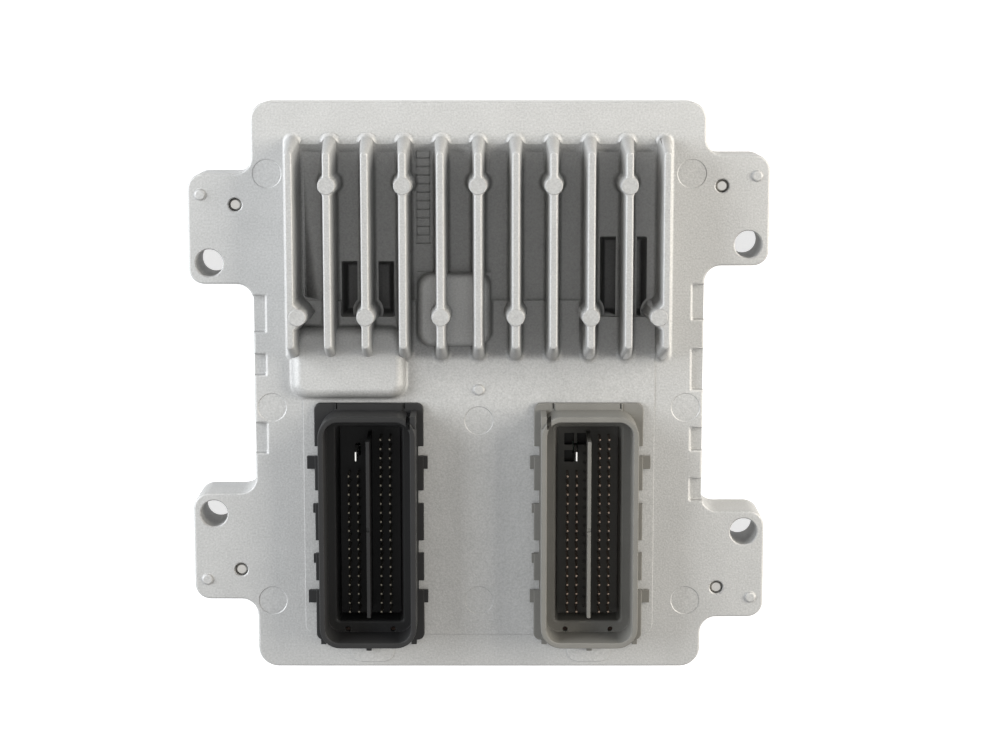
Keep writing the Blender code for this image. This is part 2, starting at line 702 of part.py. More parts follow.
def marking_pad(x):
    """Low pad between a header and the plate's lower edge."""
    high = BASE_LOW_Y + PAST
    outline = span_outline(x - PAD_WIDTH / 2, x + PAD_WIDTH / 2, PAD_MARGIN - HALF_LENGTH, high,
                           PAD_WIDTH / 4)
    return prism("marking_pad", outline, FACE - BITE, FACE + PAD_HEIGHT)


def dome(x, y, base):
    """Small cast dome."""
    profile = [(DOME_RADIUS, base - BITE), (DOME_RADIUS, base),
               (DOME_RADIUS - DOME_HEIGHT, base + DOME_HEIGHT)]
    return turned("dome", (x, y), profile, SMALL_ROUND_SIDES)


def edge_recess(side, middle, length):
    """Recess in the plate's side edge."""
    inner = side * (HALF_WIDTH - EDGE_RECESS_REACH)
    outer = side * (HALF_WIDTH + PAST)
    outline = span_outline(min(inner, outer), max(inner, outer), middle - length / 2, middle + length / 2,
                           EDGE_BREAK, CHAMFER_STEPS)
    return prism("edge_recess", outline, FACE - EDGE_RECESS_DEPTH, FACE + PAST)


def screw_hole(centre):
    """Round hole for a cover screw, chamfered where it comes out of the face."""
    radius = SCREW_HOLE / 2
    profile = [(radius, -PAST), (radius, FACE - SCREW_HOLE_CHAMFER), (radius + SCREW_HOLE_CHAMFER, FACE),
               (radius + SCREW_HOLE_CHAMFER, FACE + PAST)]
    return turned("screw_hole", centre, profile, SCREW_HOLE_SIDES)


def bolt_hole(centre):
    """Mounting hole with a chamfer at the face."""
    radius = BOLT_HOLE / 2
    profile = [(radius, -PAST), (radius, FACE - BOLT_CHAMFER), (radius + BOLT_CHAMFER, FACE),
               (radius + BOLT_CHAMFER, FACE + PAST)]
    return turned("bolt_hole", centre, profile)


def ear_core(side, end, ear):
    """Pocket that lightens an ear from the back, beside its bolt boss."""
    outer = EAR_EDGE - EAR_CORE_WALL
    inner = EAR_EDGE - SCREW_INSET + COVER_TAB_EDGE + 3 * FIT
    near = ear - BOLT_OFFSET + BOLT_HOLE / 2 + BOLT_BOSS_WALL
    far = ear + EAR_LENGTH / 2 - EAR_CORE_WALL
    outline = span_outline(min(side * inner, side * outer), max(side * inner, side * outer),
                           min(end * near, end * far), max(end * near, end * far), EAR_CORE_CORNER)
    return prism("ear_core", outline, -PAST, CEILING)


# Pieces


def make_front_housing(metal):
    """Die-cast front housing: plate, walls, ears, fins, wells and raised covers, cast in one."""
    corners = housing_corners()
    housing = loft("front_housing", [(rounded(corners), 0.0), (rounded(corners), FACE - EDGE_BREAK),
                                     (rounded(corners, -EDGE_BREAK), FACE)])
    plateau = span_outline(-PLATEAU_HALF_WIDTH, PLATEAU_HALF_WIDTH, -PLATEAU_HALF_LENGTH,
                           PLATEAU_HALF_LENGTH, PLATEAU_CORNER)
    cavity = block_outline((0, 0), (2 * CAVITY_HALF_WIDTH, 2 * CAVITY_HALF_LENGTH), CAVITY_CORNER, 0.0,
                           SMALL_ARC_STEPS)
    cover_recess = rounded(cover_corners((0, 0)), COVER_INSET + FIT, SMALL_ARC_STEPS)
    groove = ring_solid("groove", wall_outline(SEAL_WIDTH / 2 + FIT), wall_outline(-SEAL_WIDTH / 2 - FIT),
                        WALL_END - BITE, WALL_END + SEAL_HEIGHT + FIT)

    join(housing, [prism("plateau", plateau, FACE - BITE, PLATEAU_TOP),
                   marking_pad(BLACK_HEADER_X), marking_pad(GREY_HEADER_X)])
    cut(housing, [prism("cavity", cavity, -PAST, CEILING),
                  prism("cover_recess", cover_recess, -PAST, WALL_END)])
    cut(housing, [groove])

    posts = [turned("board_post", place, [(BOARD_POST_RADIUS, SEAT),
                                          (BOARD_POST_RADIUS + EDGE_BREAK, CEILING + BITE)],
                    HIDDEN_SIDES) for place in board_screw_places()]
    coil_bump = (COIL_BUMP, COIL_BUMP_SIZE, COIL_BUMP_HEIGHT, COIL_BUMP_CORNER)
    capacitor_bump = (CAPACITOR_BUMP, CAPACITOR_BUMP_SIZE, CAPACITOR_BUMP_HEIGHT, CAPACITOR_BUMP_CORNER)
    left_well, right_well = wells()
    join(housing, posts + [bump("coil_bump", *coil_bump, COIL_BUMP_ROUND),
                           bump("capacitor_bump", *capacitor_bump, CAPACITOR_BUMP_ROUND),
                           well_shell(left_well), well_shell(right_well)])
    bump_left = COIL_BUMP[0] - COIL_BUMP_SIZE[0] / 2
    bump_right = COIL_BUMP[0] + COIL_BUMP_SIZE[0] / 2
    bump_top = COIL_BUMP[1] + COIL_BUMP_SIZE[1] / 2
    fin_floors = [
        box("fin_floor", fin_x(0), bump_left, FIN_FLOOR_LOW_Y, FIN_FLOOR_HIGH_Y,
            FACE - FIN_FLOOR_DEPTH, PLATEAU_TOP + PAST),
        box("fin_floor", bump_left - BITE, bump_right + BITE, bump_top, FIN_FLOOR_HIGH_Y,
            FACE - FIN_FLOOR_DEPTH, PLATEAU_TOP + PAST),
        box("fin_floor", bump_right, fin_x(FIN_COUNT - 1), FIN_FLOOR_LOW_Y, FIN_FLOOR_HIGH_Y,
            FACE - FIN_FLOOR_DEPTH, PLATEAU_TOP + PAST)]
    cut(housing, fin_floors + [well_hollow(left_well), well_hollow(right_well)])

    domes = [dome(side * (EAR_EDGE - DOME_INSET), end * (ear + DOME_OFFSET), FACE)
             for side, end, ear in EARS]
    well_feet = [well_fin(left_well, fin_x(LEFT_WELL_FIN)), well_fin(right_well, fin_x(RIGHT_WELL_FIN))]
    join(housing, [fin(index) for index in range(FIN_COUNT)] + well_feet + domes
         + [dome(0, 0, PLATEAU_TOP)])
    join(housing, fin_posts())

    holes = [bolt_hole(place) for place in bolt_places()]
    holes += [screw_hole(place) for place in screw_places()]
    holes += [turned("board_screw_hole", place, [(BOARD_SCREW_SHANK / 2 + FIT, SEAT - PAST),
                                                 (BOARD_SCREW_SHANK / 2 + FIT,
                                                  BOARD_LOW + BOARD_SCREW_LENGTH + FIT)],
                     HIDDEN_SIDES) for place in board_screw_places()]
    recesses = [edge_recess(side, end * (ear - EAR_LENGTH / 2 - setback), length)
                for (side, end, ear), places in zip(EARS, EAR_RECESSES) for setback, length in places]
    hollows = [bump_hollow("coil_hollow", *coil_bump), bump_hollow("capacitor_hollow", *capacitor_bump)]
    cut(housing, holes + recesses + hollows + [ear_core(*ear) for ear in EARS]
        + header_openings(BLACK_HEADER_X) + header_openings(GREY_HEADER_X))
    finish(housing, metal)


def make_back_cover(metal):
    """Flat back cover with a countersunk hole in each tab."""
    corners = cover_corners((LOWER_CORNER, UPPER_CORNER))
    cover = prism("back_cover", rounded(corners, 0.0, SMALL_ARC_STEPS), COVER_LOW, COVER_HIGH)
    holes = []
    for place in screw_places():
        radius = SCREW_SHANK / 2 + FIT
        head = SCREW_HEAD / 2 + FIT
        holes.append(turned("countersink", place, [
            (head, COVER_LOW - PAST), (head, COVER_LOW + SCREW_SINK + SCREW_HEAD_EDGE),
            (radius, COVER_LOW + SCREW_SINK + SCREW_HEAD_HEIGHT), (radius, COVER_HIGH + PAST)],
                            SMALL_ROUND_SIDES))
    cut(cover, holes)
    finish(cover, metal)


def make_cover_screw(name, place, metal):
    """Countersunk screw whose tip shows in the ear."""
    low = COVER_LOW + SCREW_SINK
    shank = SCREW_SHANK / 2
    screw = turned(name, place, [(SCREW_HEAD / 2 - SCREW_HEAD_EDGE, low),
                                 (SCREW_HEAD / 2, low + SCREW_HEAD_EDGE),
                                 (shank, low + SCREW_HEAD_HEIGHT),
                                 (shank, FACE - SCREW_RECESS - EDGE_BREAK),
                                 (shank - EDGE_BREAK, FACE - SCREW_RECESS)], SMALL_ROUND_SIDES)
    drive = [(DRIVE_SIZE / 2, low - PAST), (DRIVE_SIZE / 2, low + DRIVE_DEPTH)]
    cut(screw, [turned("drive", place, drive, DRIVE_SIDES)])
    finish(screw, metal)


def make_cover_seal(rubber):
    """Seal between the side wall and the back cover."""
    seal = ring_solid("cover_seal", wall_outline(SEAL_WIDTH / 2), wall_outline(-SEAL_WIDTH / 2),
                      WALL_END, WALL_END + SEAL_HEIGHT)
    finish(seal, rubber)


def make_circuit_board(laminate):
    """Board with holes for its screws and for the headers' pegs."""
    size = (2 * (CAVITY_HALF_WIDTH - BOARD_MARGIN), 2 * (CAVITY_HALF_LENGTH - BOARD_MARGIN))
    board = prism("circuit_board", block_outline((0, 0), size, BOARD_CORNER), BOARD_LOW, BOARD_HIGH)
    holes = [turned("screw_hole", place, [(BOARD_SCREW_SHANK / 2 + FIT, BOARD_LOW - PAST),
                                          (BOARD_SCREW_SHANK / 2 + FIT, BOARD_HIGH + PAST)],
                    HIDDEN_SIDES) for place in board_screw_places()]
    for header_x in (BLACK_HEADER_X, GREY_HEADER_X):
        holes += [turned("peg_hole", place, [(PEG_RADIUS + FIT, BOARD_LOW - PAST),
                                             (PEG_RADIUS + FIT, BOARD_HIGH + PAST)], HIDDEN_SIDES)
                  for place in peg_places(header_x)]
    cut(board, holes)
    finish(board, laminate)


def make_board_screw(name, place, metal):
    """Pan-head screw from behind the board into a post."""
    shank = BOARD_SCREW_SHANK / 2
    head = BOARD_SCREW_HEAD / 2
    low = BOARD_LOW - FIT - BOARD_SCREW_HEAD_HEIGHT
    screw = turned(name, place, [(head - EDGE_BREAK / 2, low), (head, low + EDGE_BREAK / 2),
                                 (head, BOARD_LOW - FIT), (shank, BOARD_LOW - FIT),
                                 (shank, BOARD_LOW + BOARD_SCREW_LENGTH - EDGE_BREAK),
                                 (shank - EDGE_BREAK / 2, BOARD_LOW + BOARD_SCREW_LENGTH)],
                   HIDDEN_SIDES)
    finish(screw, metal)


def peg_places(x):
    """Middles of the two pegs under a header."""
    return [(x, HEADER_Y + PEG_SPREAD), (x, HEADER_Y - PEG_SPREAD)]


def header_body(name, x, hand):
    """Header's neck, base plate with all that stands on it, and shroud, still solid.

    hand is the side of the shroud, in X, whose upper corner carries the guide.
    """
    centre = (x, HEADER_Y)
    shroud_end = HEADER_Y + SHROUD_LENGTH / 2
    guide_inner = x + hand * (SHROUD_WIDTH / 2 - GUIDE_WIDTH)
    guide_outer = x + hand * SHROUD_WIDTH / 2
    outward = x - hand * LUG_SHIFT
    body = prism(name, neck_outline(x), SEAT, BASE_LOW + BITE)
    shroud = ((SHROUD_WIDTH, SHROUD_LENGTH), SOCKET_CORNER + SHROUD_WALL)
    base = span_outline(x - BASE_WIDTH / 2, x + BASE_WIDTH / 2, BASE_LOW_Y, BASE_HIGH_Y, BASE_CORNER)
    tools = [prism("base", base, BASE_LOW, BASE_HIGH),
             loft("shroud", [(block_outline(centre, *shroud), BASE_HIGH - BITE),
                             (block_outline(centre, *shroud), RIM - RIM_BREAK),
                             (block_outline(centre, *shroud, -RIM_BREAK), RIM)]),
             box("guide", min(guide_inner, guide_outer), max(guide_inner, guide_outer),
                 shroud_end - GUIDE_REACH, shroud_end, BASE_HIGH - BITE, RIM - GUIDE_DROP),
             box("strip", x - STRIP_WIDTH / 2, x + STRIP_WIDTH / 2, shroud_end - BITE,
                 BASE_HIGH_Y - STRIP_SETBACK, BASE_HIGH - BITE, BASE_HIGH + STRIP_HEIGHT)]
    for offset in LUG_PLACES:
        middle = HEADER_Y + offset
        tools.append(box("lug", outward - BASE_WIDTH / 2 - LUG_REACH, outward + BASE_WIDTH / 2 + LUG_REACH,
                         middle - LUG_LENGTH / 2, middle + LUG_LENGTH / 2, BASE_LOW, BASE_HIGH - BITE / 2))
    for offset in NUB_PLACES:
        middle = HEADER_Y + offset
        tools.append(box("nub", x - BASE_WIDTH / 2 - NUB_REACH, x - BASE_WIDTH / 2 + BITE,
                         middle - NUB_LENGTH / 2, middle + NUB_LENGTH / 2, BASE_LOW, BASE_HIGH - BITE / 2))
    corner = BASE_WIDTH / 2 - CORNER_FOOT_INSET
    for offset, reach in ((-corner, CORNER_FOOT_REACH), (0, MIDDLE_FOOT_REACH), (corner, CORNER_FOOT_REACH)):
        middle = outward + offset
        tools.append(box("foot", middle - FOOT_WIDTH / 2, middle + FOOT_WIDTH / 2, BASE_LOW_Y - reach,
                         BASE_LOW_Y + BITE, BASE_LOW, BASE_HIGH - BITE / 2))
    for place in peg_places(x):
        tools.append(turned("peg", place, [(PEG_RADIUS - EDGE_BREAK / 2, BOARD_LOW + FIT),
                                           (PEG_RADIUS, BOARD_LOW + FIT + EDGE_BREAK / 2),
                                           (PEG_RADIUS, SEAT + BITE)], HIDDEN_SIDES))
    join(body, tools)
    return body


def header_hollows(x):
    """Socket, pin well, base notches, ledge holes and blade slot of a header."""
    centre = (x, HEADER_Y)
    hollows = [prism("socket", block_outline(centre, (SOCKET_WIDTH, SOCKET_LENGTH), SOCKET_CORNER),
                     BASE_HIGH, RIM + PAST),
               prism("pin_well", block_outline(centre, (PIN_FIELD_WIDTH, PIN_FIELD_LENGTH),
                                               PIN_FLOOR_CORNER, 0.0, SMALL_ARC_STEPS),
                     PIN_FLOOR, BASE_HIGH + BITE)]
    slot_x = BLADE_THICKNESS / 2 + FIT
    slot_y = BLADE_WIDTH / 2 + FIT
    hollows.append(box("blade_slot", x + BLADE_X - slot_x, x + BLADE_X + slot_x, BLADE_Y - slot_y,
                       BLADE_Y + slot_y, SEAT - PAST, PIN_FLOOR + PAST))
    for side in (-1, 1):
        edge = x + side * BASE_WIDTH / 2
        for offset, length in BASE_NOTCHES:
            middle = HEADER_Y + offset
            hollows.append(box("base_notch", edge - BASE_NOTCH_DEPTH, edge + BASE_NOTCH_DEPTH,
                               middle - length / 2, middle + length / 2, BASE_LOW - PAST,
                               BASE_HIGH + BITE))
        place = (x + side * LEDGE_HOLE_SPREAD, HEADER_Y - SOCKET_LENGTH / 2 + END_LEDGE / 2)
        hollows.append(turned("ledge_hole", place, [(LEDGE_HOLE / 2, BASE_HIGH - LEDGE_HOLE_DEPTH),
                                                    (LEDGE_HOLE / 2, BASE_HIGH + PAST)],
                              SMALL_ROUND_SIDES))
    return hollows


def pin_block(x):
    """All pins of a header in one mesh: full columns on the right, short ones beside the blade."""
    shape = bmesh.new()
    for side in (-1, 1):
        rows = range(PIN_ROWS - SHORT_ROWS, PIN_ROWS) if side < 0 else range(PIN_ROWS)
        for column in PIN_COLUMNS:
            for row in rows:
                centre = (x + side * column, FIRST_PIN_Y - row * PIN_PITCH)
                stem = block_outline(centre, (PIN_SIZE, PIN_SIZE), 0)
                high = FACE + PIN_ABOVE_FACE
                loft_into(shape, [(stem, PIN_FLOOR - BITE), (stem, high - PIN_POINT)], (*centre, high))
    return add_object("pins", shape)


def centre_rib(x):
    """Rib between the two halves of a header, notched in its middle."""
    low = LAST_PIN_Y
    high = FIRST_PIN_Y + PIN_PITCH / 3
    half = RIB_THICKNESS / 2
    rib = box("rib", x - half, x + half, low, high, PIN_FLOOR - BITE, FACE + RIB_ABOVE_FACE)
    cut(rib, [box("rib_notch", x - PAST, x + PAST, HEADER_Y - RIB_NOTCH / 2, HEADER_Y + RIB_NOTCH / 2,
                  FACE + RIB_ABOVE_FACE - RIB_NOTCH, FACE + RIB_ABOVE_FACE + PAST)])
    return rib


def make_header(name, x, hand, plastic):
    """Open pin header, moulded round its pins."""
    header = header_body(name, x, hand)
    cut(header, header_hollows(x))
    join(header, [pin_block(x), centre_rib(x)])
    finish(header, plastic)


def make_header_seal(name, x, rubber):
    """Seal round a header's neck, in the housing's rebate."""
    seal = ring_solid(name, neck_outline(x, FIT + NECK_SEAL_WIDTH), neck_outline(x, FIT),
                      PLATEAU_TOP - NECK_SEAL_HEIGHT, PLATEAU_TOP)
    finish(seal, rubber)


def make_ground_blade(name, x, metal):
    """Wide flat contact that stands beside the pins."""
    centre = (x + BLADE_X, BLADE_Y)
    high = FACE + BLADE_ABOVE_FACE
    stem = block_outline(centre, (BLADE_THICKNESS, BLADE_WIDTH), 0)
    tip = block_outline(centre, (BLADE_TIP, BLADE_WIDTH - BLADE_POINT), 0)
    blade = loft(name, [(stem, SEAT), (stem, high - BLADE_POINT), (tip, high)])
    finish(blade, metal)


def make_chip(name, centre, size, height, surface):
    """Flat component body with broken top edges."""
    side = block_outline(centre, size, CHIP_BREAK, 0.0, CHAMFER_STEPS)
    top = block_outline(centre, size, CHIP_BREAK, -CHIP_BREAK, CHAMFER_STEPS)
    body = loft(name, [(side, SEAT), (side, SEAT + height - CHIP_BREAK), (top, SEAT + height)])
    finish(body, surface)


def make_thermal_pad(name, centre, size, surface):
    """Soft pad between a power chip and the underside of its well."""
    size = (size[0] - 2 * THERMAL_PAD_MARGIN, size[1] - 2 * THERMAL_PAD_MARGIN)
    pad = prism(name, block_outline(centre, size, 0), THERMAL_PAD_LOW, THERMAL_PAD_HIGH)
    finish(pad, surface)


def make_capacitor(name, place, surface):
    """Standing can capacitor on a square foot."""
    radius = CAPACITOR_DIAMETER / 2
    neck = SEAT + CAPACITOR_BASE + EDGE_BREAK
    can = turned(name, place, [(radius - EDGE_BREAK / 2, SEAT + CAPACITOR_BASE / 2),
                               (radius - EDGE_BREAK / 2, neck), (radius, neck + EDGE_BREAK / 2),
                               (radius, SEAT + CAPACITOR_HEIGHT - EDGE_BREAK),
                               (radius - EDGE_BREAK, SEAT + CAPACITOR_HEIGHT)], SMALL_ROUND_SIDES)
    foot = block_outline(place, (CAPACITOR_DIAMETER, CAPACITOR_DIAMETER), CAPACITOR_FOOT_CORNER,
                         steps=CHAMFER_STEPS)
    join(can, [prism("foot", foot, SEAT, SEAT + CAPACITOR_BASE)])
    finish(can, surface)


def make_inductor(surface):
    """Moulded coil under its raised cover."""
    side = block_outline(COIL_BUMP, (COIL_SIZE, COIL_SIZE), COIL_CORNER)
    top = block_outline(COIL_BUMP, (COIL_SIZE, COIL_SIZE), COIL_CORNER, -EDGE_BREAK)
    high = SEAT + COIL_HEIGHT
    body = loft("inductor", [(side, SEAT), (side, high - EDGE_BREAK), (top, high)])
    finish(body, surface)


def make_electronics():
    """Board, its components and the pads that carry their heat away."""
    laminate = material("green_laminate", (0.03, 0.14, 0.07), 0.45)
    epoxy = material("chip_epoxy", (0.02, 0.02, 0.022), 0.6)
    can = material("can_aluminium", (0.62, 0.63, 0.64), 0.35, 1.0)
    pad = material("thermal_pad_grey", (0.35, 0.38, 0.42), 0.8)
    make_circuit_board(laminate)
    left_well, right_well = wells()
    make_chip("microcontroller", (MICROCONTROLLER_X, CHIP_ROW_Y), MICROCONTROLLER_SIZE, CHIP_HEIGHT, epoxy)
    make_chip("memory_chip", (MEMORY_CHIP_X, CHIP_ROW_Y), MEMORY_CHIP_SIZE, CHIP_HEIGHT, epoxy)
    make_chip("supply_chip", (SUPPLY_CHIP_X, CHIP_ROW_Y), SUPPLY_CHIP_SIZE, CHIP_HEIGHT, epoxy)
    make_chip("throttle_driver", (0, HEADER_Y), THROTTLE_DRIVER_SIZE, CHIP_HEIGHT, epoxy)
    make_chip("injector_driver", left_well[0], INJECTOR_DRIVER_SIZE, CHIP_HEIGHT, epoxy)
    make_chip("ignition_driver", right_well[0], IGNITION_DRIVER_SIZE, CHIP_HEIGHT, epoxy)
    make_chip("crystal", (CRYSTAL_X, CHIP_ROW_Y), CRYSTAL_SIZE, CRYSTAL_HEIGHT, can)
    make_thermal_pad("thermal_pad_left", left_well[0], INJECTOR_DRIVER_SIZE, pad)
    make_thermal_pad("thermal_pad_right", right_well[0], IGNITION_DRIVER_SIZE, pad)
    for index in range(CAPACITOR_COUNT):
        x = CAPACITOR_BUMP[0] + (index - (CAPACITOR_COUNT - 1) / 2) * CAPACITOR_PITCH
        make_capacitor(f"capacitor_{index + 1}", (x, CAPACITOR_BUMP[1]), can)
    make_inductor(epoxy)


def main():
    """Build every piece of the control unit."""
    for old in list(bpy.data.objects):
        bpy.data.objects.remove(old)
    cast = material("cast_aluminium", (0.50, 0.50, 0.49), 0.55, 0.9)
    sheet = material("sheet_aluminium", (0.60, 0.60, 0.61), 0.4, 1.0)
    steel = material("screw_steel", (0.55, 0.54, 0.52), 0.35, 1.0)
    black = material("black_plastic", (0.028, 0.028, 0.03), 0.5)
    grey = material("grey_plastic", (0.20, 0.185, 0.165), 0.5)
    gold = material("tinned_copper", (0.70, 0.62, 0.50), 0.3, 1.0)
    rubber = material("seal_silicone", (0.12, 0.07, 0.05), 0.7)
    make_front_housing(cast)
    make_back_cover(sheet)
    make_cover_seal(rubber)
    for number, place in enumerate(screw_places(), 1):
        make_cover_screw(f"cover_screw_{number}", place, steel)
    for number, place in enumerate(board_screw_places(), 1):
        make_board_screw(f"board_screw_{number}", place, steel)
    for colour, x, hand, plastic in (("black", BLACK_HEADER_X, 1, black), ("grey", GREY_HEADER_X, -1, grey)):
        make_header(f"{colour}_header", x, hand, plastic)
        make_header_seal(f"{colour}_header_seal", x, rubber)
        make_ground_blade(f"{colour}_ground_blade", x, gold)
    make_electronics()


main()
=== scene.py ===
"""Engine control unit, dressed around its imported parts.

The die casting, both pin headers, their contacts, the back cover and its screws are modelled
here at full finish. Lengths are in metres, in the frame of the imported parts: +X runs across the
cooling fins, +Y along them, and +Z out of the face that the plugs enter.
"""

import math

import bmesh
import bpy
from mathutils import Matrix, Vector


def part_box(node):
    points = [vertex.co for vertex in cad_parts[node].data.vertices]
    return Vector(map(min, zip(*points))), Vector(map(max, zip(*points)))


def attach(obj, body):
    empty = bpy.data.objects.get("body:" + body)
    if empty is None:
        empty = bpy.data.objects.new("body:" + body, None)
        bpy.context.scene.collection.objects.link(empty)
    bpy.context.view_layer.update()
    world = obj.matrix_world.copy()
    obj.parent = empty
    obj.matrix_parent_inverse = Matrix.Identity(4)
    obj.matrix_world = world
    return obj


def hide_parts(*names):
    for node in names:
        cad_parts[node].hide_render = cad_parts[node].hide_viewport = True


bl_info = {
    "name": "Engine control unit",
    "version": (1, 0, 0),
    "blender": (4, 5, 0),
    "location": "View3D > Sidebar > Control unit",
    "description": "Models the casting, pin headers, contacts, cover and stage of a control unit",
    "category": "Object",
}

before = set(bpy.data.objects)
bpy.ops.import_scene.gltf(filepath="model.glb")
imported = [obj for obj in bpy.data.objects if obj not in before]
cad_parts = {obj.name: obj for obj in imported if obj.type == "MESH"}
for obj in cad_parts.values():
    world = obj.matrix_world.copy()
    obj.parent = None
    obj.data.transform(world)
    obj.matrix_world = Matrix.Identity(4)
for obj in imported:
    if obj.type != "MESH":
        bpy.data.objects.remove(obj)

MM = 0.001
BODY = "root"

# Clearance, the reach of a tool past what it cuts, its bite into what it joins, and a tolerance
FIT = 0.3 * MM
PAST = 1.0 * MM
BITE = 0.5 * MM
SLACK = 0.01 * MM

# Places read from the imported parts
HOUSING_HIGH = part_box("front_housing")[1]
COVER_LOW, COVER_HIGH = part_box("back_cover")
SCREW_PLACES = [((low.x + high.x) / 2, (low.y + high.y) / 2)
                for low, high in (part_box(f"cover_screw_{number}") for number in (1, 2, 3, 4))]

# The headers, each with the side of its shroud, in X, that carries the guide rib
HEADERS = {"black": 1, "grey": -1}

# Steps of round corners and edges, and sides of round pieces
CORNER_STEPS = 8
EDGE_STEPS = 3
ROUND_SIDES = 40
POST_SIDES = 32
FIN_SIDES = 24
SMALL_SIDES = 16
DRIVE_SIDES = 6
FLARE_SIDES = 4

# Angles of smooth shading and of faces that count as one, share of a normal in Z or X that counts
# as level or sideways, and area of a broad face
SMOOTH_ANGLE = math.radians(30)
FLAT_ANGLE = math.radians(1)
LEVEL = 0.9999
SIDEWAYS = 0.9
BROAD = 1.0 * MM * MM

# Casting
UPPER_CORNER = 4.5 * MM
LOWER_CORNER = 5.5 * MM
EAR_CORNER = 4.2 * MM
EAR_ROOT = 4.5 * MM
BACK_EDGE = 0.3 * MM
PLATEAU_CORNER = 3.0 * MM
STEP_EDGE = 0.12 * MM
WALL_END = 2.6 * MM
CEILING = 13.0 * MM
SEAT = 5.8 * MM
BOLT_INSET = 5.6 * MM
BOLT_OFFSET = 9.2 * MM
HOLE_CHAMFER = 0.3 * MM
SCREW_OFFSET = 6.6 * MM
DOME = (1.5 * MM, 0.65 * MM, 0.3 * MM)
DOME_INSET = 3.5 * MM
DOME_OFFSET = 9.3 * MM
EAR_CORE_WALL = 2.2 * MM
EAR_CORE_CORNER = 1.5 * MM
BOLT_BOSS_WALL = 2.6 * MM
COVER_TAB_EDGE = 4.2 * MM
COVER_TAB_CORNER = 3.6 * MM
COVER_TAB_ROOT = 1.0 * MM
SEAL_WIDTH = 1.0 * MM
RECESS_REACH = 3.2 * MM
RECESS_DEPTH = 2.0 * MM
RECESS_CORNER = 0.8 * MM
RECESS_EDGE = 0.65 * MM
LEFT_RECESSES = ((20.8 * MM, 9.8 * MM), (6.8 * MM, 5.6 * MM), (-13.5 * MM, 8.3 * MM))
RIGHT_RECESSES = ((24.0 * MM, 9.4 * MM), (5.5 * MM, 11.1 * MM), (-13.8 * MM, 6.1 * MM),
                  (-27.9 * MM, 6.0 * MM))
EJECTOR_RADIUS = 4.0 * MM
EJECTOR_DEPTH = 0.16 * MM
EJECTOR_SLOPE = 1.4
EJECTORS_ON_FACE = ((-57.0, 58.8), (57.5, 58.8), (-56.5, -5.0), (56.5, -5.0), (-57.0, -59.2),
                    (57.0, -59.2))
EJECTORS_ON_PLATEAU = ((0.0, -8.6), (0.0, -59.1))
PAD_WIDTH = 12.0 * MM
PAD_SHIFT = 0.4 * MM
PAD_LOW = -76.6 * MM
PAD_RISE = 0.3 * MM
BOARD_POST = (53.0 * MM, 69.5 * MM)
BOARD_POST_RADIUS = 3.2 * MM

# Wells, each as middle in X, width and length, from the same Y on
WELLS = ((-30.0 * MM, 14.8 * MM, 15.3 * MM), (39.2 * MM, 13.2 * MM, 22.0 * MM))
WELL_LOW = 20.0 * MM
WELL_BOTTOM = 9.6 * MM
WELL_UNDERSIDE = 8.3 * MM
WELL_DRAFT = 1.3 * MM
WELL_WALL = 1.6 * MM
WELL_CORNER = 2.5 * MM
WELL_SOLE = 0.8 * MM
WELL_FINS = (2, 9)

# Framed strip of empty cells, cut into the floor between two fins: middle, width, low end, cells
CELL_STRIP = (-14.9 * MM, 3.6 * MM, 40.0 * MM, 11)
CELL_PITCH = 2.3 * MM
CELL_LINE = (0.42 * MM, 0.5 * MM)

# Flare of an ejector post into its fin, as half width and half length at the crest
FLARE = (2.35 * MM, 4.9 * MM)
FLARE_FOOT = 1.4

# Raised covers, as middle, size, height above the face, corner and edge rounding
COIL_BUMP = ((-6.6 * MM, 22.2 * MM), (20.0 * MM, 20.0 * MM), 4.0 * MM, 3.5 * MM, 1.6 * MM)
CAPACITOR_BUMP = ((-35.35 * MM, 7.7 * MM), (30.9 * MM, 19.6 * MM), 4.5 * MM, 3.6 * MM, 2.6 * MM)
BUMP_TAPER = 0.35 * MM
BUMP_ROOT = 0.8 * MM
BUMP_WALL = 2.4 * MM

# Headers
HEADER_X = 30.0 * MM
HEADER_Y = -37.2 * MM
SHROUD_WALL = 1.5 * MM
RIM = 30.0 * MM
RIM_EDGE = 0.3 * MM
FINE_EDGE = 0.15 * MM
BASE_LOW = 16.65 * MM
BASE_HIGH = 18.15 * MM
BASE_SIZE = (29.8 * MM, 66.4 * MM)
BASE_SHIFT = 0.5 * MM
BASE_CORNER = 1.8 * MM
SOCKET_CORNER = 4.0 * MM
NECK_WALL = 2.1 * MM
NECK_CORNER = 1.6 * MM
NECK_SEAL = (1.4 * MM, 1.2 * MM)
SIDE_LEDGE = 2.65 * MM
END_LEDGE = 3.2 * MM
PIN_FLOOR = 11.5 * MM
PIN_WELL_CORNER = 1.6 * MM
PIN_WELL_EDGE = 0.7 * MM
PIN_WELL_DRAFT = 0.5 * MM
LUG_REACH = 1.6 * MM
LUG_LENGTH = 3.5 * MM
LUG_SHIFT = 0.5 * MM
LUGS = (17.2 * MM, -20.4 * MM)
NOTCH_DEPTH = 1.5 * MM
NOTCHES = ((20.4 * MM, 2.8 * MM), (7.6 * MM, 3.8 * MM), (-6.35 * MM, 3.7 * MM), (-17.2 * MM, 2.8 * MM))
FOOT_WIDTH = 1.5 * MM
FEET = ((-12.5 * MM, 1.35 * MM), (0.0, 3.2 * MM), (12.5 * MM, 1.35 * MM))
NUB_REACH = 0.6 * MM
NUB_LENGTH = 2.5 * MM
NUBS = (4.4 * MM, -9.7 * MM)
STRIP_HALF = 9.2 * MM
STRIP_RISE = 0.4 * MM
STRIP_LINE = (0.35 * MM, 0.5 * MM)
GUIDE_WIDTH = 1.45 * MM
GUIDE_REACH = 3.4 * MM
GUIDE_TOP = 29.4 * MM
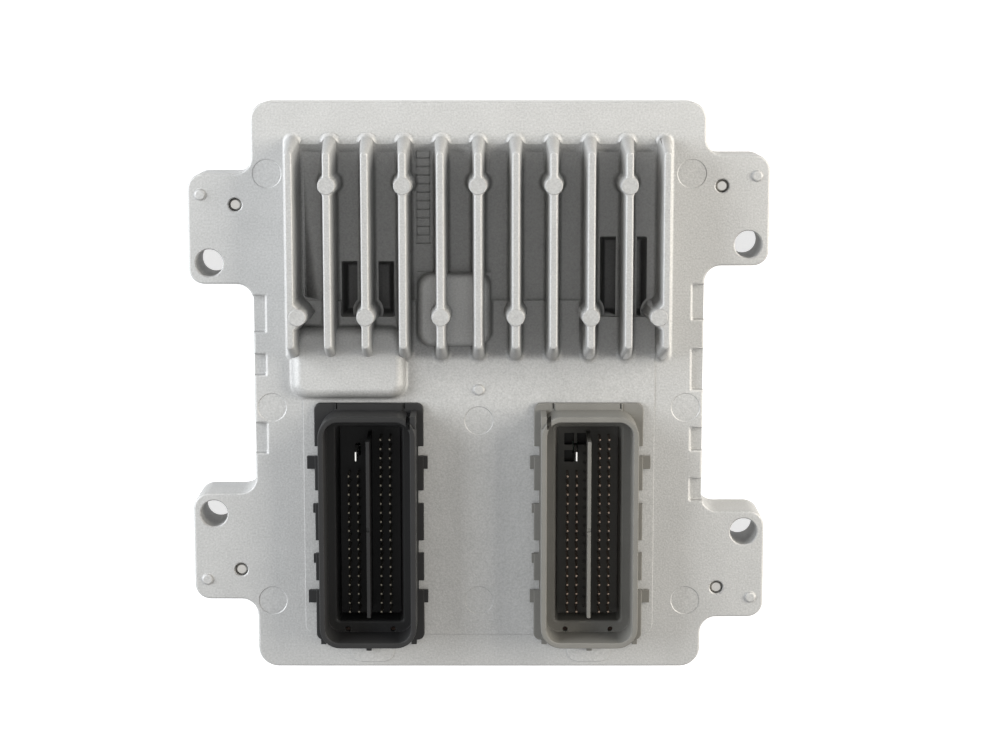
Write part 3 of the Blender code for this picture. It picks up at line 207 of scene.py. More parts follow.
GUIDE_SLOT = {"black": 1.1 * MM, "grey": 1.2 * MM}
GUIDE_SLOT_FLOOR = 23.0 * MM
LEDGE_HOLE = (0.7 * MM, 1.5 * MM)
LEDGE_HOLE_SPREAD = 6.25 * MM
PEG_RADIUS = 1.3 * MM
PEG_SPREAD = 26.0 * MM
PEG_LOW = 4.2 * MM
RIB_NOTCH = 1.2 * MM
RIB_SLOPE = 0.6 * MM
SCALLOP_RADIUS = 0.55 * MM
POCKET = (2.7 * MM, 3.3 * MM)
POCKETS = ((-5.1 * MM, 2.9 * MM), (-5.1 * MM, -1.9 * MM), (-1.6 * MM, 2.9 * MM))

# Contacts
PIN_ROWS = 20
SHORT_ROWS = 16
PIN_EDGE = 0.24 * MM
BLADE_X = -3.4 * MM
BLADE_ROW = 1.55
BLADE_SIZE = (0.8 * MM, 2.8 * MM)
BLADE_TIP = (0.35 * MM, 2.5 * MM)
BLADE_POINT = 1.2 * MM
BLADE_TOP = 22.5 * MM

# Cover screws
SCREW_RADIUS = 1.65 * MM
SCREW_HEAD = (3.0 * MM, 1.5 * MM)
SCREW_HEAD_EDGE = 0.2 * MM
SCREW_SINK = 0.5 * MM
SCREW_TIP = (1.2 * MM, 15.4 * MM)
THREAD_PITCH = 0.5 * MM
THREAD_DEPTH = 0.2 * MM
THREAD_TURNS = 14
DRIVE = (1.25 * MM, 1.0 * MM)

# Range of a noise that is stretched to 0 and 1, rolled lines per metre in each direction, share of
# bare metal in the cast skin, and the strength of a moulding's gloss
NOISE_RANGE = (0.3, 0.7)
ROLLED_LINES = (3000, 40, 3000)
CAST_METALLIC = 0.35
MOULDED_GLOSS = 0.14

# Painted shade, as bands of height: where each starts, where it is full, and its strength
# Painted shade on the floor between the fins, and deeper in the wells
PAINTED_SHADE_DEPTHS = ((19.5 * MM, 17.0 * MM, 0.27), (14.6 * MM, 12.5 * MM, 0.42))
# Faint painted shade on the flat tops of the crests and posts, against their brighter edges
PAINTED_CREST_SHADE = ((30.38 * MM, 30.46 * MM, 0.1),)
# Painted shade in the headers' pin wells, darker with depth
PIN_WELL_PAINTED_SHADE = ((14.5 * MM, 12.0 * MM, 0.3), (11.3 * MM, 10.5 * MM, 0.5))

# Field of the painted shade among the fins in X and in Y: its middle, and how far from it the shade starts
# and is full
PAINTED_SHADE_FIELD = ((0.0, 50.0 * MM, 40.0 * MM), (37.1 * MM, 29.2 * MM, 27.3 * MM))

# Finishes of the pieces kept as packed, as name, colour, roughness, width and depth of the grain in
# millimetres, and the nodes; bare metal has no depth
INNER_FINISHES = (
    ("silicone", "rubber", 0.6, 0.5, 0.01, ("cover_seal", "black_header_seal", "grey_header_seal")),
    ("solder_mask", "laminate", 0.35, 1.2, 0.01, ("circuit_board",)),
    ("chip_body", "epoxy", 0.55, 0.25, 0.01,
     ("microcontroller", "memory_chip", "supply_chip", "throttle_driver", "injector_driver",
      "ignition_driver", "inductor")),
    ("gap_filler", "pad", 0.8, 0.4, 0.02, ("thermal_pad_left", "thermal_pad_right")),
    ("drawn_can", "can", 0.35, 0.8, None, ("crystal", "capacitor_1", "capacitor_2", "capacitor_3")),
    ("board_screw_plate", "steel", 0.35, 0.6, None,
     ("board_screw_1", "board_screw_2", "board_screw_3", "board_screw_4")))

# Stage: the floor's size and its drop below the part, the sensor's width in millimetres, how far
# the camera sees, and the paper's own shade and glow
FLOOR_SIZE = 6.0
FLOOR_DROP = 0.05 * MM
SENSOR = 36
CLIP_END = 20
PAPER_SHADE = 0.5
PAPER_GLOW = 0.75

# Lamps, as name, place, turn round Y, size, tint, and the stage's setting for the power
LAMPS = (("key_light", (0.0, 0.0, 0.9), 0.0, 0.6, (1.0, 1.0, 0.98), "key"),
         ("left_light", (-0.75, 0.26, 0.4), -1.08, 0.7, (0.94, 0.97, 1.0), "side"),
         ("right_light", (0.75, 0.26, 0.4), 1.08, 0.7, (1.0, 0.95, 0.86), "side"))


def length(description, millimetres):
    """Length property whose default is given in millimetres."""
    return bpy.props.FloatProperty(description=description, default=millimetres * MM, unit="LENGTH",
                                   precision=5)


def colour(description, red, green, blue):
    """Colour property."""
    return bpy.props.FloatVectorProperty(description=description, size=3, subtype="COLOR", min=0.0,
                                         max=1.0, default=(red, green, blue))


class CastingSizes(bpy.types.PropertyGroup):
    """Sizes of the die casting's plate, ears and walls."""

    plate_width: length("Width of the plate without its ears", 122.4)
    face: length("Height of the face above the underside", 16.0)
    edge: length("Radius round the face", 0.6)
    ear_length: length("Length of an ear along the side", 29.9)
    left_ear: length("Distance of the left ears' middles from the middle", 43.85)
    right_ear: length("Distance of the right ears' middles from the middle", 48.9)
    side_wall: length("Thickness of the side wall", 3.2)
    plateau_width: length("Width of the raised field on the face", 96.0)
    plateau_length: length("Length of the raised field on the face", 137.6)
    plateau_rise: length("Height of the raised field", 0.35)
    bolt_hole: length("Diameter of the mounting holes", 7.4)
    screw_hole: length("Diameter of the holes for the cover screws", 3.6)


class FinSizes(bpy.types.PropertyGroup):
    """Sizes of the cooling fins and their ejector posts."""

    count: bpy.props.IntProperty(description="Number of cooling fins", default=11, min=1)
    pitch: length("Distance from fin to fin", 10.0)
    height: length("Height of the crests above the face", 14.5)
    crest: length("Width of a fin at its crest", 2.0)
    draft: length("Growth of each side from crest to foot", 0.8)
    root: length("Fillet between a fin and the face", 1.0)
    edge: length("Radius of the crest's edges", 0.45)
    foot_low: length("Where the foot starts in Y", 8.0)
    foot_high: length("Where the foot ends in Y", 69.0)
    crest_low: length("Where the crest starts in Y", 13.2)
    crest_high: length("Where the crest ends in Y", 65.4)
    floor_depth: length("Depth of the floor between the fins", 0.8)
    floor_low: length("Where the sunk floor starts in Y", 24.5)
    floor_high: length("Where the sunk floor ends in Y", 64.4)
    floor_ramp: length("How far the floor's upper end leans out above the face", 7.9)
    post: length("Radius of the ejector posts", 2.35)
    post_rise: length("Height of the posts above the crests", 0.2)
    post_edge: length("Radius round a post's top", 0.35)
    upper_post: length("Place of the upper row of posts in Y", 56.5)
    lower_post: length("Place of the lower row of posts in Y", 21.6)
    end_shift: length("Inward shift of the posts on the outer fins", 1.9)


class HeaderSizes(bpy.types.PropertyGroup):
    """Sizes of a pin header's moulding and contacts."""

    socket_width: length("Inner width of the shroud", 23.2)
    socket_length: length("Inner length of the shroud", 60.8)
    rib: length("Thickness of the centre rib", 1.0)
    rib_top: length("Height of the centre rib", 25.5)
    pin: length("Thickness of a pin", 0.64)
    pin_pitch: length("Distance from pin to pin", 2.54)
    pin_top: length("Height of the pins' tips", 18.9)
    pin_inner: length("Distance of the inner pin columns from the rib", 3.12)
    pin_outer: length("Distance of the outer pin columns from the rib", 5.66)
    pin_shift: length("Shift of the pin field from the header's middle", -0.43)


class FinishColours(bpy.types.PropertyGroup):
    """Colours of the finishes."""

    casting: colour("Shot-blasted die casting", 0.44, 0.44, 0.435)
    sheet: colour("Rolled aluminium sheet", 0.56, 0.56, 0.57)
    steel: colour("Zinc-plated steel", 0.45, 0.44, 0.42)
    black: colour("Black moulding", 0.026, 0.026, 0.0265)
    grey: colour("Grey moulding", 0.185, 0.181, 0.168)
    gold: colour("Pins of the black header", 0.21, 0.19, 0.15)
    copper: colour("Pins of the grey header", 0.36, 0.27, 0.21)
    tin: colour("Ground blades", 0.78, 0.77, 0.74)
    rubber: colour("Silicone seals", 0.12, 0.07, 0.05)
    laminate: colour("Circuit board", 0.03, 0.14, 0.07)
    epoxy: colour("Chip bodies", 0.02, 0.02, 0.022)
    can: colour("Capacitor cans", 0.62, 0.63, 0.64)
    pad: colour("Thermal pads", 0.35, 0.38, 0.42)


class StageSettings(bpy.types.PropertyGroup):
    """Camera and light."""

    lens: bpy.props.FloatProperty(description="Focal length in millimetres, 36 mm sensor", default=82.44)
    camera: bpy.props.FloatVectorProperty(description="Place of the camera", size=3,
                                          subtype="TRANSLATION", default=(0.0058, 0.1006, 0.633))
    tilt: bpy.props.FloatProperty(description="Tilt of the camera from straight down", subtype="ANGLE",
                                  default=math.radians(-8.9))
    fill: bpy.props.FloatProperty(description="Strength of the even light all round", default=0.18)
    key: bpy.props.FloatProperty(description="Power of the soft light overhead", default=0.4, unit="POWER")
    side: bpy.props.FloatProperty(description="Power of the soft lights at the sides", default=12.9,
                                  unit="POWER")


# Modelling by hand: start a primitive, pick by place, pull


def leave_edit():
    """Go to object mode with nothing selected."""
    if bpy.context.object and bpy.context.object.mode == "EDIT":
        bpy.ops.object.mode_set(mode="OBJECT")
    bpy.ops.object.select_all(action="DESELECT")


def activate(piece):
    """Make one piece the only selected and active one, in object mode."""
    leave_edit()
    piece.select_set(True)
    bpy.context.view_layer.objects.active = piece


def open_mesh(piece):
    """Open a piece for editing."""
    activate(piece)
    bpy.ops.object.mode_set(mode="EDIT")


def settle(name):
    """Name the new primitive, move its place into its mesh and open it for editing."""
    piece = bpy.context.object
    piece.name = name
    piece.data.name = name
    bpy.ops.object.transform_apply(location=True, rotation=True, scale=True)
    bpy.ops.object.mode_set(mode="EDIT")
    return piece


def pick(kind, test):
    """Select what passes a test in the open mesh."""
    bpy.ops.mesh.select_mode(type=kind)
    bpy.ops.mesh.select_all(action="DESELECT")
    shape = bmesh.from_edit_mesh(bpy.context.object.data)
    parts = {"VERT": shape.verts, "EDGE": shape.edges, "FACE": shape.faces}[kind]
    chosen = [part for part in parts if test(part)]
    if not chosen:
        raise RuntimeError(f"{bpy.context.object.name}: nothing fits the selection")
    for part in chosen:
        part.select_set(True)
    shape.select_flush_mode()
    bmesh.update_edit_mesh(bpy.context.object.data)


def near(value, target):
    """Whether two lengths are the same to a hundredth of a millimetre."""
    return abs(value - target) < SLACK


def flat_at(height):
    """Test for an edge or face that lies at one height."""
    return lambda part: all(near(corner.co.z, height) for corner in part.verts)


def upright(edge):
    """Whether an edge runs along Z."""
    first, second = edge.verts
    return near(first.co.x, second.co.x) and near(first.co.y, second.co.y)


def extrude(x, y, z):
    """Pull the selection out."""
    bpy.ops.mesh.extrude_region_move(TRANSFORM_OT_translate={"value": (x, y, z)})


def resize(scale_x, scale_y, centre):
    """Scale the selection in X and Y about a point."""
    bpy.ops.transform.resize(value=(scale_x, scale_y, 1), center_override=centre)


def bevel(radius, steps):
    """Round the selected edges."""
    bpy.ops.mesh.bevel(offset=radius, segments=steps, affect="EDGES")


def take_all():
    """Select all of the open mesh."""
    bpy.ops.mesh.select_all(action="SELECT")


def face_outwards():
    """Point the open mesh's faces outwards and leave edit mode."""
    take_all()
    bpy.ops.mesh.normals_make_consistent(inside=False)
    leave_edit()


def round_rim(piece, height, radius, steps=EDGE_STEPS):
    """Round the edges that lie at one height."""
    open_mesh(piece)
    pick("EDGE", flat_at(height))
    bevel(radius, steps)
    leave_edit()


def quarter(steps):
    """Angles of a quarter turn."""
    return [math.pi / 2 * step / steps for step in range(steps + 1)]


def brow(height, size, radius, steps=EDGE_STEPS):
    """Levels of a rounded top edge that ends at a height."""
    return [(height - radius * (1 - math.sin(angle)), size - radius * (1 - math.cos(angle)))
            for angle in quarter(steps)]


def edged(low, high, radius, steps=EDGE_STEPS):
    """Levels of a plain wall with a rounded top edge."""
    return [(low, 0.0)] + brow(high, 0.0, radius, steps)


def fillet(height, size, radius, steps=EDGE_STEPS + 1):
    """Levels of a hollow foot that rises from a height and ends at a size."""
    return [(height + radius * (1 - math.cos(angle)), size + radius * (1 - math.sin(angle)))
            for angle in quarter(steps)]


def mouth(height, size, radius, steps=EDGE_STEPS):
    """Levels of a cutter that opens with a rounded rim at a height."""
    return [(height - radius * (1 - math.sin(angle)), size + radius * (1 - math.cos(angle)))
            for angle in quarter(steps)] + [(height + PAST, size + radius)]


def sole(height, size, radius, steps=EDGE_STEPS):
    """Levels of a cutter's rounded bottom edge."""
    return [(height + radius * (1 - math.cos(angle)), size - radius * (1 - math.sin(angle)))
            for angle in quarter(steps)]


def pull_up(centre, levels, widths):
    """Pull the open sheet up through levels, whose second value gives its widths in X and Y."""
    take_all()
    for (height, value), (next_height, next_value) in zip(levels, levels[1:]):
        extrude(0, 0, next_height - height)
        old, new = widths(value), widths(next_value)
        resize(new[0] / old[0], new[1] / old[1], (*centre, next_height))
    face_outwards()


def turned(name, centre, levels, sides=ROUND_SIDES):
    """Round piece: a disc pulled up through levels of height and radius."""
    leave_edit()
    height, radius = levels[0]
    bpy.ops.mesh.primitive_circle_add(vertices=sides, radius=radius, fill_type="NGON",
                                      location=(*centre, height))
    piece = settle(name)
    pull_up(centre, levels, lambda radius: (radius, radius))
    return piece


def stacked(name, centre, size, corner, levels, steps=CORNER_STEPS):
    """Block with round upright edges: a plate pulled up through levels of height and growth."""
    leave_edit()
    def widths(growth):
        return size[0] + 2 * growth, size[1] + 2 * growth
    height, grown = levels[0]
    bpy.ops.mesh.primitive_plane_add(size=1, location=(*centre, height))
    piece = settle(name)
    take_all()
    resize(*widths(grown), (*centre, height))
    if corner:
        bpy.ops.mesh.bevel(offset=corner + grown, segments=steps, affect="VERTICES")
    pull_up(centre, levels, widths)
    return piece


def span(name, left, right, low, high, levels, corner=0.0, steps=CORNER_STEPS):
    """Stacked block given by its sides, each pair in any order."""
    return stacked(name, ((left + right) / 2, (low + high) / 2), (abs(right - left), abs(high - low)),
                   corner, levels, steps)


def straight(low, high, grow=0.0):
    """Levels of a plain wall."""
    return [(low, grow), (high, grow)]


def tabbed_plate(name, half_width, half_length, low, high, tabs, reach, *rounding):
    """Plate with tabs: a block cut across beside each tab, whose sides are pulled out.

    Each tab is its side, and its near and far end in Y. The rounding is that of round_plate.
    """
    leave_edit()
    middle = (low + high) / 2
    bpy.ops.mesh.primitive_cube_add(size=high - low, location=(0, 0, middle))
    piece = settle(name)
    take_all()
    resize(2 * half_width / (high - low), 2 * half_length / (high - low), (0, 0, middle))
    for side, near_end, far_end in tabs:
        for end in (near_end, far_end):
            take_all()
            bpy.ops.mesh.bisect(plane_co=(0, end, 0), plane_no=(0, 1, 0))
    for side, near_end, far_end in tabs:
        pick("FACE", lambda face: face.normal.x * side > SIDEWAYS
             and near_end < face.calc_center_median().y < far_end)
        extrude(side * reach, 0, 0)
    take_all()
    bpy.ops.mesh.dissolve_limited(angle_limit=FLAT_ANGLE)
    round_plate(half_width, half_length, reach, *rounding)
    face_outwards()
    return piece


def round_plate(half_width, half_length, reach, tip, root, ends):
    """Round the upright edges of the open tabbed plate: tab tips, tab roots, lower and upper corners."""
    def standing(x, fits):
        return lambda edge: upright(edge) and near(abs(edge.verts[0].co.x), x) and fits(edge.verts[0].co.y)
    pick("EDGE", standing(half_width + reach, lambda y: True))
    bevel(tip, CORNER_STEPS)
    pick("EDGE", standing(half_width, lambda y: abs(y) < half_length - SLACK))
    bevel(root, CORNER_STEPS)
    for radius, end in zip(ends, (-half_length, half_length)):
        if radius:
            pick("EDGE", standing(half_width, lambda y: near(y, end)))
            bevel(radius, CORNER_STEPS)


def combine(piece, tools, operation):
    """Unite tools with a piece or cut them out of it, and use them up."""
    activate(piece)
    group = bpy.data.collections.new("tools")
    for tool in tools:
        group.objects.link(tool)
    bpy.ops.object.modifier_add(type="BOOLEAN")
    modifier = piece.modifiers[-1]
    modifier.operation = operation
    modifier.solver = "EXACT"
    modifier.operand_type = "COLLECTION"
    modifier.collection = group
    bpy.ops.object.modifier_apply(modifier=modifier.name)
    for tool in tools:
        bpy.data.objects.remove(tool)
    bpy.data.collections.remove(group)


def join(piece, tools):
    """Unite tools with a piece."""
    combine(piece, tools, "UNION")


def cut(piece, tools):
    """Cut tools out of a piece."""
    combine(piece, tools, "DIFFERENCE")


def copy_to(piece, name, x=0.0, y=0.0):
    """Copy of a finished shape with its own mesh, moved in its mesh."""
    activate(piece)
    bpy.ops.object.duplicate(linked=False)
    made = bpy.context.object
    made.name = name
    made.location = (x, y, 0)
    bpy.ops.object.transform_apply(location=True, rotation=True, scale=True)
    return made


def gather(name, pieces):
    """Join separate pieces into one object."""
    leave_edit()
    for piece in pieces:
        piece.select_set(True)
    bpy.context.view_layer.objects.active = pieces[0]
    bpy.ops.object.join()
    bpy.context.object.name = name
    return bpy.context.object


def dress(piece, finish, slot, *replaced):
    """Shade a piece, give it its finish, tie it to the body and hide the parts that it replaces."""
    activate(piece)
    bpy.ops.object.shade_smooth_by_angle(angle=SMOOTH_ANGLE)
    bpy.ops.object.modifier_add(type="WEIGHTED_NORMAL")
    piece.modifiers[-1].keep_sharp = True
    bpy.ops.object.modifier_apply(modifier=piece.modifiers[-1].name)
    piece.data.materials.clear()
    piece.data.materials.append(finish)
    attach(piece, BODY)
    if replaced:
        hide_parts(*replaced)


def level_off(piece):
    """Shade the broad level faces truly flat: their corners take the faces' own normals."""
    open_mesh(piece)
    pick("FACE", lambda face: abs(face.normal.z) > LEVEL and face.calc_area() > BROAD)
    bpy.ops.mesh.set_normals_from_faces(keep_sharp=True)
    leave_edit()


# Finishes: node materials


class Socket:
    """Output of a node, with arithmetic that adds Math nodes."""

    def __init__(self, finish, output):
        self.finish = finish
        self.output = output

    def math(self, operation, first, second):
        """Math node on two values."""
        return self.finish.add("Math", {0: first, 1: second}, operation=operation)

    def __add__(self, other):
        return self.math("ADD", self, other)

    def __radd__(self, other):
        return self.math("ADD", other, self)

    def __sub__(self, other):
        return self.math("SUBTRACT", self, other)

    def __rsub__(self, other):
        return self.math("SUBTRACT", other, self)

    def __mul__(self, other):
        return self.math("MULTIPLY", self, other)

    def __rmul__(self, other):
        return self.math("MULTIPLY", other, self)


class Finish:
    """Node tree under construction, of a material or of the world."""

    def __init__(self, tree):
        self.tree = tree

    def add(self, kind, sockets=None, output=0, **settings):
        """Node of a type with the values or links of its sockets, and its settings by name."""
        node = self.tree.nodes.new(f"ShaderNode{kind}")
        for key, value in settings.items():
            setattr(node, key, value)
        for key, value in (sockets or {}).items():
            self.feed(node.inputs[key], value)
        return Socket(self, node.outputs[output])

    def feed(self, target, value):
        """Link a socket to an input, or set the input's value."""
        if isinstance(value, Socket):
            self.tree.links.new(value.output, target)
        else:
            target.default_value = value

    def noise(self, cell, detail=2.0, roughness=0.5):
        """Noise between 0 and 1 whose features are about a cell wide."""
        place = self.add("TexCoord", output="Object")
        return self.add("TexNoise", {"Vector": place, "Scale": 1 / cell, "Detail": detail,
                                     "Roughness": roughness})

    def place(self, axis):
        """Place on the piece along one axis: 0 for X, 1 for Y, 2 for Z."""
        point = self.add("TexCoord", output="Object")
        return self.add("SeparateXYZ", {0: point}, output=axis)

    def distance(self, axis, middle):
        """Distance from a place along one axis."""
        return self.add("Math", {0: self.place(axis) - middle}, operation="ABSOLUTE")

    def band(self, value, low, high):
        """Value stretched so that low gives 0 and high gives 1."""
        return self.add("MapRange", {0: value, 1: low, 2: high})

    def depths(self, steps):
        """Sum of bands of height, each as where it starts, where it is full, and its strength."""
        height = self.place(2)
        return sum(self.band(height, start, full) * strength for start, full, strength in steps)

    def shade(self, tint, amount):
        """Colour multiplied by a grey value."""
        grey = self.add("CombineColor", {0: amount, 1: amount, 2: amount})
        return self.add("Mix", {0: 1.0, 6: (*tint, 1.0), 7: grey}, 2, data_type="RGBA",
                        blend_type="MULTIPLY")

    def bump(self, amount, distance, strength=1.0):
        """Normal from a height value."""
        return self.add("Bump", {"Height": amount, "Distance": distance, "Strength": strength})


def new_finish(name):
    """New material, its tree wrapped, and its shader's sockets."""
    material = bpy.data.materials.new(name)
    material.use_nodes = True
    return material, Finish(material.node_tree), material.node_tree.nodes["Principled BSDF"].inputs


def cast_finish(tint):
    """Shot-blasted die casting: fine speckle, faint flow mottling and a pitted skin.

    The floor between the fins and the wells carry painted shade that deepens with depth, and
    the flat tops of the crests and posts carry a faint painted shade against their edges.
    """
    material, finish, shader = new_finish("cast_skin")
    grain = finish.band(finish.noise(0.5 * MM, 3.0, 0.6), *NOISE_RANGE)
    flow = finish.band(finish.noise(8.0 * MM, 3.0), *NOISE_RANGE)
    among_fins = [finish.band(finish.distance(axis, middle), *reach)
                  for axis, (middle, *reach) in enumerate(PAINTED_SHADE_FIELD)]
    # Painted shade: darker with depth among the fins and in the wells, and a faint band on the flat tops of
    # the crests and posts
    painted_shade = finish.depths(PAINTED_SHADE_DEPTHS) * (among_fins[0] * among_fins[1]) + finish.depths(PAINTED_CREST_SHADE)
    finish.feed(shader["Base Color"], finish.shade(tint, (0.78 + grain * 0.28 + flow * 0.06) * (1 - painted_shade)))
    finish.feed(shader["Roughness"], 0.50 + grain * 0.08 + flow * 0.04)
    finish.feed(shader["Normal"], finish.bump(grain, 0.03 * MM, 0.8))
    shader["Metallic"].default_value = CAST_METALLIC
    return material


def metal_finish(name, tint, roughness, cell, metallic=1.0):
    """Satin metal with a fine uneven sheen."""
    material, finish, shader = new_finish(name)
    grain = finish.noise(cell)
    finish.feed(shader["Base Color"], finish.shade(tint, 0.9 + grain * 0.2))
    finish.feed(shader["Roughness"], roughness - 0.06 + grain * 0.12)
    shader["Metallic"].default_value = metallic
    return material


def rolled_finish(tint):
    """Rolled sheet: fine lines along Y and a soft uneven sheen."""
    material, finish, shader = new_finish("rolled_sheet")
    place = finish.add("TexCoord", output="Object")
    drawn = finish.add("Mapping", {"Vector": place, "Scale": ROLLED_LINES})
    lines = finish.add("TexNoise", {"Vector": drawn, "Scale": 1.0, "Detail": 2.0})
    sheen = finish.noise(12.0 * MM)
    finish.feed(shader["Base Color"], finish.shade(tint, 0.84 + lines * 0.16 + sheen * 0.14))
    finish.feed(shader["Roughness"], 0.30 + lines * 0.14 + sheen * 0.08)
    finish.feed(shader["Normal"], finish.bump(lines, 0.004 * MM, 0.5))
    shader["Metallic"].default_value = 1.0
    return material


def moulded_finish(name, tint, roughness):
    """Glass-filled moulding: fine fibre grain and a faint bloom, with painted shade in the pin well."""
    material, finish, shader = new_finish(name)
    grain = finish.noise(0.3 * MM)
    bloom = finish.noise(6.0 * MM)
    # Painted shade: the pin well darker with depth
    painted_shade = finish.depths(PIN_WELL_PAINTED_SHADE)
    finish.feed(shader["Base Color"], finish.shade(tint, (0.80 + grain * 0.2 + bloom * 0.2) * (1 - painted_shade)))
    finish.feed(shader["Roughness"], roughness - 0.05 + bloom * 0.1)
    finish.feed(shader["Normal"], finish.bump(grain, 0.01 * MM, 0.5))
    shader["Specular IOR Level"].default_value = MOULDED_GLOSS
    return material


def matt_finish(name, tint, roughness, cell, depth):
    """Matt surface with a fine grain, for the pieces inside."""
    material, finish, shader = new_finish(name)
    grain = finish.noise(cell)
    finish.feed(shader["Base Color"], finish.shade(tint, 0.8 + grain * 0.4))
    finish.feed(shader["Normal"], finish.bump(grain, depth, 0.5))
    shader["Roughness"].default_value = roughness
    return material


# Front housing


def ears(casting):
    """The four ears as side, end and distance of the ear's middle from the housing's."""
    return [(side, end, middle) for side, middle in ((-1, casting.left_ear), (1, casting.right_ear))
            for end in (-1, 1)]


def tab_ends(casting, offset, half):
    """Tabs round a place in each ear, as side, near end and far end."""
    return [(side, end * (middle + offset) - half, end * (middle + offset) + half)
            for side, end, middle in ears(casting)]


def plate_with_ears(casting):
    """The plate and its ears, with rounded corners and rim."""
    half_width = casting.plate_width / 2
    plate = tabbed_plate("housing_casting", half_width, HOUSING_HIGH.y, 0.0, casting.face,
                         tab_ends(casting, 0.0, casting.ear_length / 2), HOUSING_HIGH.x - half_width,
                         EAR_CORNER, EAR_ROOT, (LOWER_CORNER, UPPER_CORNER))
    round_rim(plate, casting.face, casting.edge)
    round_rim(plate, 0.0, BACK_EDGE, 2)
    return plate


def cover_plate(name, casting, grow, low, high, ends):
    """The back cover's outline with its tabs, grown all round, as a plate."""
    half_width = casting.plate_width / 2 - (HOUSING_HIGH.y - COVER_HIGH.y) + grow
    return tabbed_plate(name, half_width, COVER_HIGH.y + grow, low, high,
                        tab_ends(casting, SCREW_OFFSET, COVER_TAB_EDGE + grow),
                        COVER_HIGH.x + grow - half_width, COVER_TAB_CORNER + grow,
                        COVER_TAB_ROOT - grow, ends)


def seal_groove(casting):
    """Groove for the seal in the end of the side wall."""
    line = (casting.plate_width - casting.side_wall, 2 * HOUSING_HIGH.y - casting.side_wall)
    half = SEAL_WIDTH / 2 + FIT
    corner = LOWER_CORNER - casting.side_wall / 2
    outer = stacked("seal_groove", (0, 0), line, corner,
                    straight(WALL_END - BITE, WALL_END + SEAL_WIDTH + FIT, half))
    cut(outer, [stacked("seal_core", (0, 0), line, corner, straight(0.0, CEILING, -half))])
    return outer


def bump(centre, size, height, corner, edge, casting):
    """Raised cover with a rounded edge and a filleted foot."""
    foot = casting.face + casting.plateau_rise
    top = casting.face + height
    piece = stacked("bump", centre, size, corner, [(casting.face - BITE, BUMP_ROOT)]
                    + fillet(foot, 0.0, BUMP_ROOT) + [(top, -BUMP_TAPER)])
    round_rim(piece, top, edge, EDGE_STEPS + 3)
    return piece


def bump_hollow(centre, size, height, corner, casting):
    """Room under a raised cover."""
    return stacked("bump_hollow", centre, size, corner,
                   [(CEILING - PAST, -BUMP_WALL)] + brow(casting.face + height - BUMP_WALL, -BUMP_WALL,
                                                         casting.edge))


def well(name, middle, width, reach, levels):
    """Block in the outline of a well."""
    return stacked(name, (middle, WELL_LOW + reach / 2), (width, reach), WELL_CORNER, levels)


def slot_block(name, levels, sides=FIN_SIDES):
    """Block with round ends: a disc whose halves are moved apart, pulled up through levels.

    Each level is its height, half width, and the middles of the low and the high end in Y.
    """
    leave_edit()
    height, half, low, high = levels[0]
    middle = (low + high) / 2
    spread = 1 / math.cos(math.pi / sides)
    bpy.ops.mesh.primitive_circle_add(vertices=sides, radius=half * spread, fill_type="NGON",
                                      location=(0, middle, height))
    piece = settle(name)
    take_all()
    bpy.ops.transform.rotate(value=math.pi / sides, orient_axis="Z", center_override=(0, middle, height))
    for side, end in ((-1, low), (1, high)):
        pick("VERT", lambda corner: (corner.co.y - middle) * side > 0)
        bpy.ops.transform.translate(value=(0, end - middle, 0))
    for next_height, next_half, next_low, next_high in levels[1:]:
        pick("FACE", flat_at(height))
        extrude(0, 0, next_height - height)
        scale = next_half / half
        for side, end, next_end in ((-1, low, next_low), (1, high, next_high)):
            pick("VERT", lambda corner: near(corner.co.z, next_height)
                 and (corner.co.y - middle) * side > 0)
            resize(scale, scale, (0, end, next_height))
            bpy.ops.transform.translate(value=(0, next_end - end, 0))
        height, half, low, high = next_height, next_half, next_low, next_high
    face_outwards()
    return piece


def fin_block(name, fins, face, levels):
    """Block in a fin's outline, from levels of height and what foot or crest adds to the plain wall."""
    outline = []
    for height, extra in levels:
        rise = (height - face) / fins.height
        plain = fins.crest / 2 + fins.draft * (1 - rise)
        low = fins.foot_low + (fins.crest_low - fins.foot_low) * rise
        high = fins.foot_high + (fins.crest_high - fins.foot_high) * rise
        outline.append((height, plain + extra, low + plain, high - plain))
    return slot_block(name, outline)


def fin(fins, face):
    """One cooling fin in the middle: filleted foot, drafted wall and rounded crest."""
    floor = face - fins.floor_depth
    return fin_block("fin", fins, face, [(floor - BITE, fins.root)] + fillet(floor, 0.0, fins.root)
                     + brow(face + fins.height, 0.0, fins.edge))


def fin_skirt(fins, face, floor):
    """Fillet round a fin's foot where the floor isn't sunk."""
    return fin_block("fin_skirt", fins, face,
                     [(face - BITE, fins.root)] + fillet(floor, 0.0, fins.root))


def fin_with_post(fins, face, x, y):
    """A fin with its ejector post, and the flare between the two."""
    floor = face - fins.floor_depth
    top = face + fins.height + fins.post_rise
    whole = fin(fins, face)
    post = turned("post", (x, y), [(floor - BITE / 2, fins.post + fins.draft + fins.root)]
                  + fillet(floor, fins.post + fins.draft, fins.root)
                  + brow(top, fins.post, fins.post_edge), POST_SIDES)
    width, reach = FLARE
    flare = turned("flare", (0, y), [(floor - BITE / 2, reach * FLARE_FOOT)]
                   + brow(face + fins.height - SLACK, reach, 2 * fins.edge), FLARE_SIDES)
    open_mesh(flare)
    for side in (-1, 1):
        pick("VERT", lambda corner: corner.co.x * side > SLACK)
        resize((width + side * x) / reach, 1.0, (0, y, floor))
    leave_edit()
    join(whole, [post, flare])
    return whole


def fin_x(fins, index):
    """Middle of a fin, counted from the left."""
    return (index - (fins.count - 1) / 2) * fins.pitch


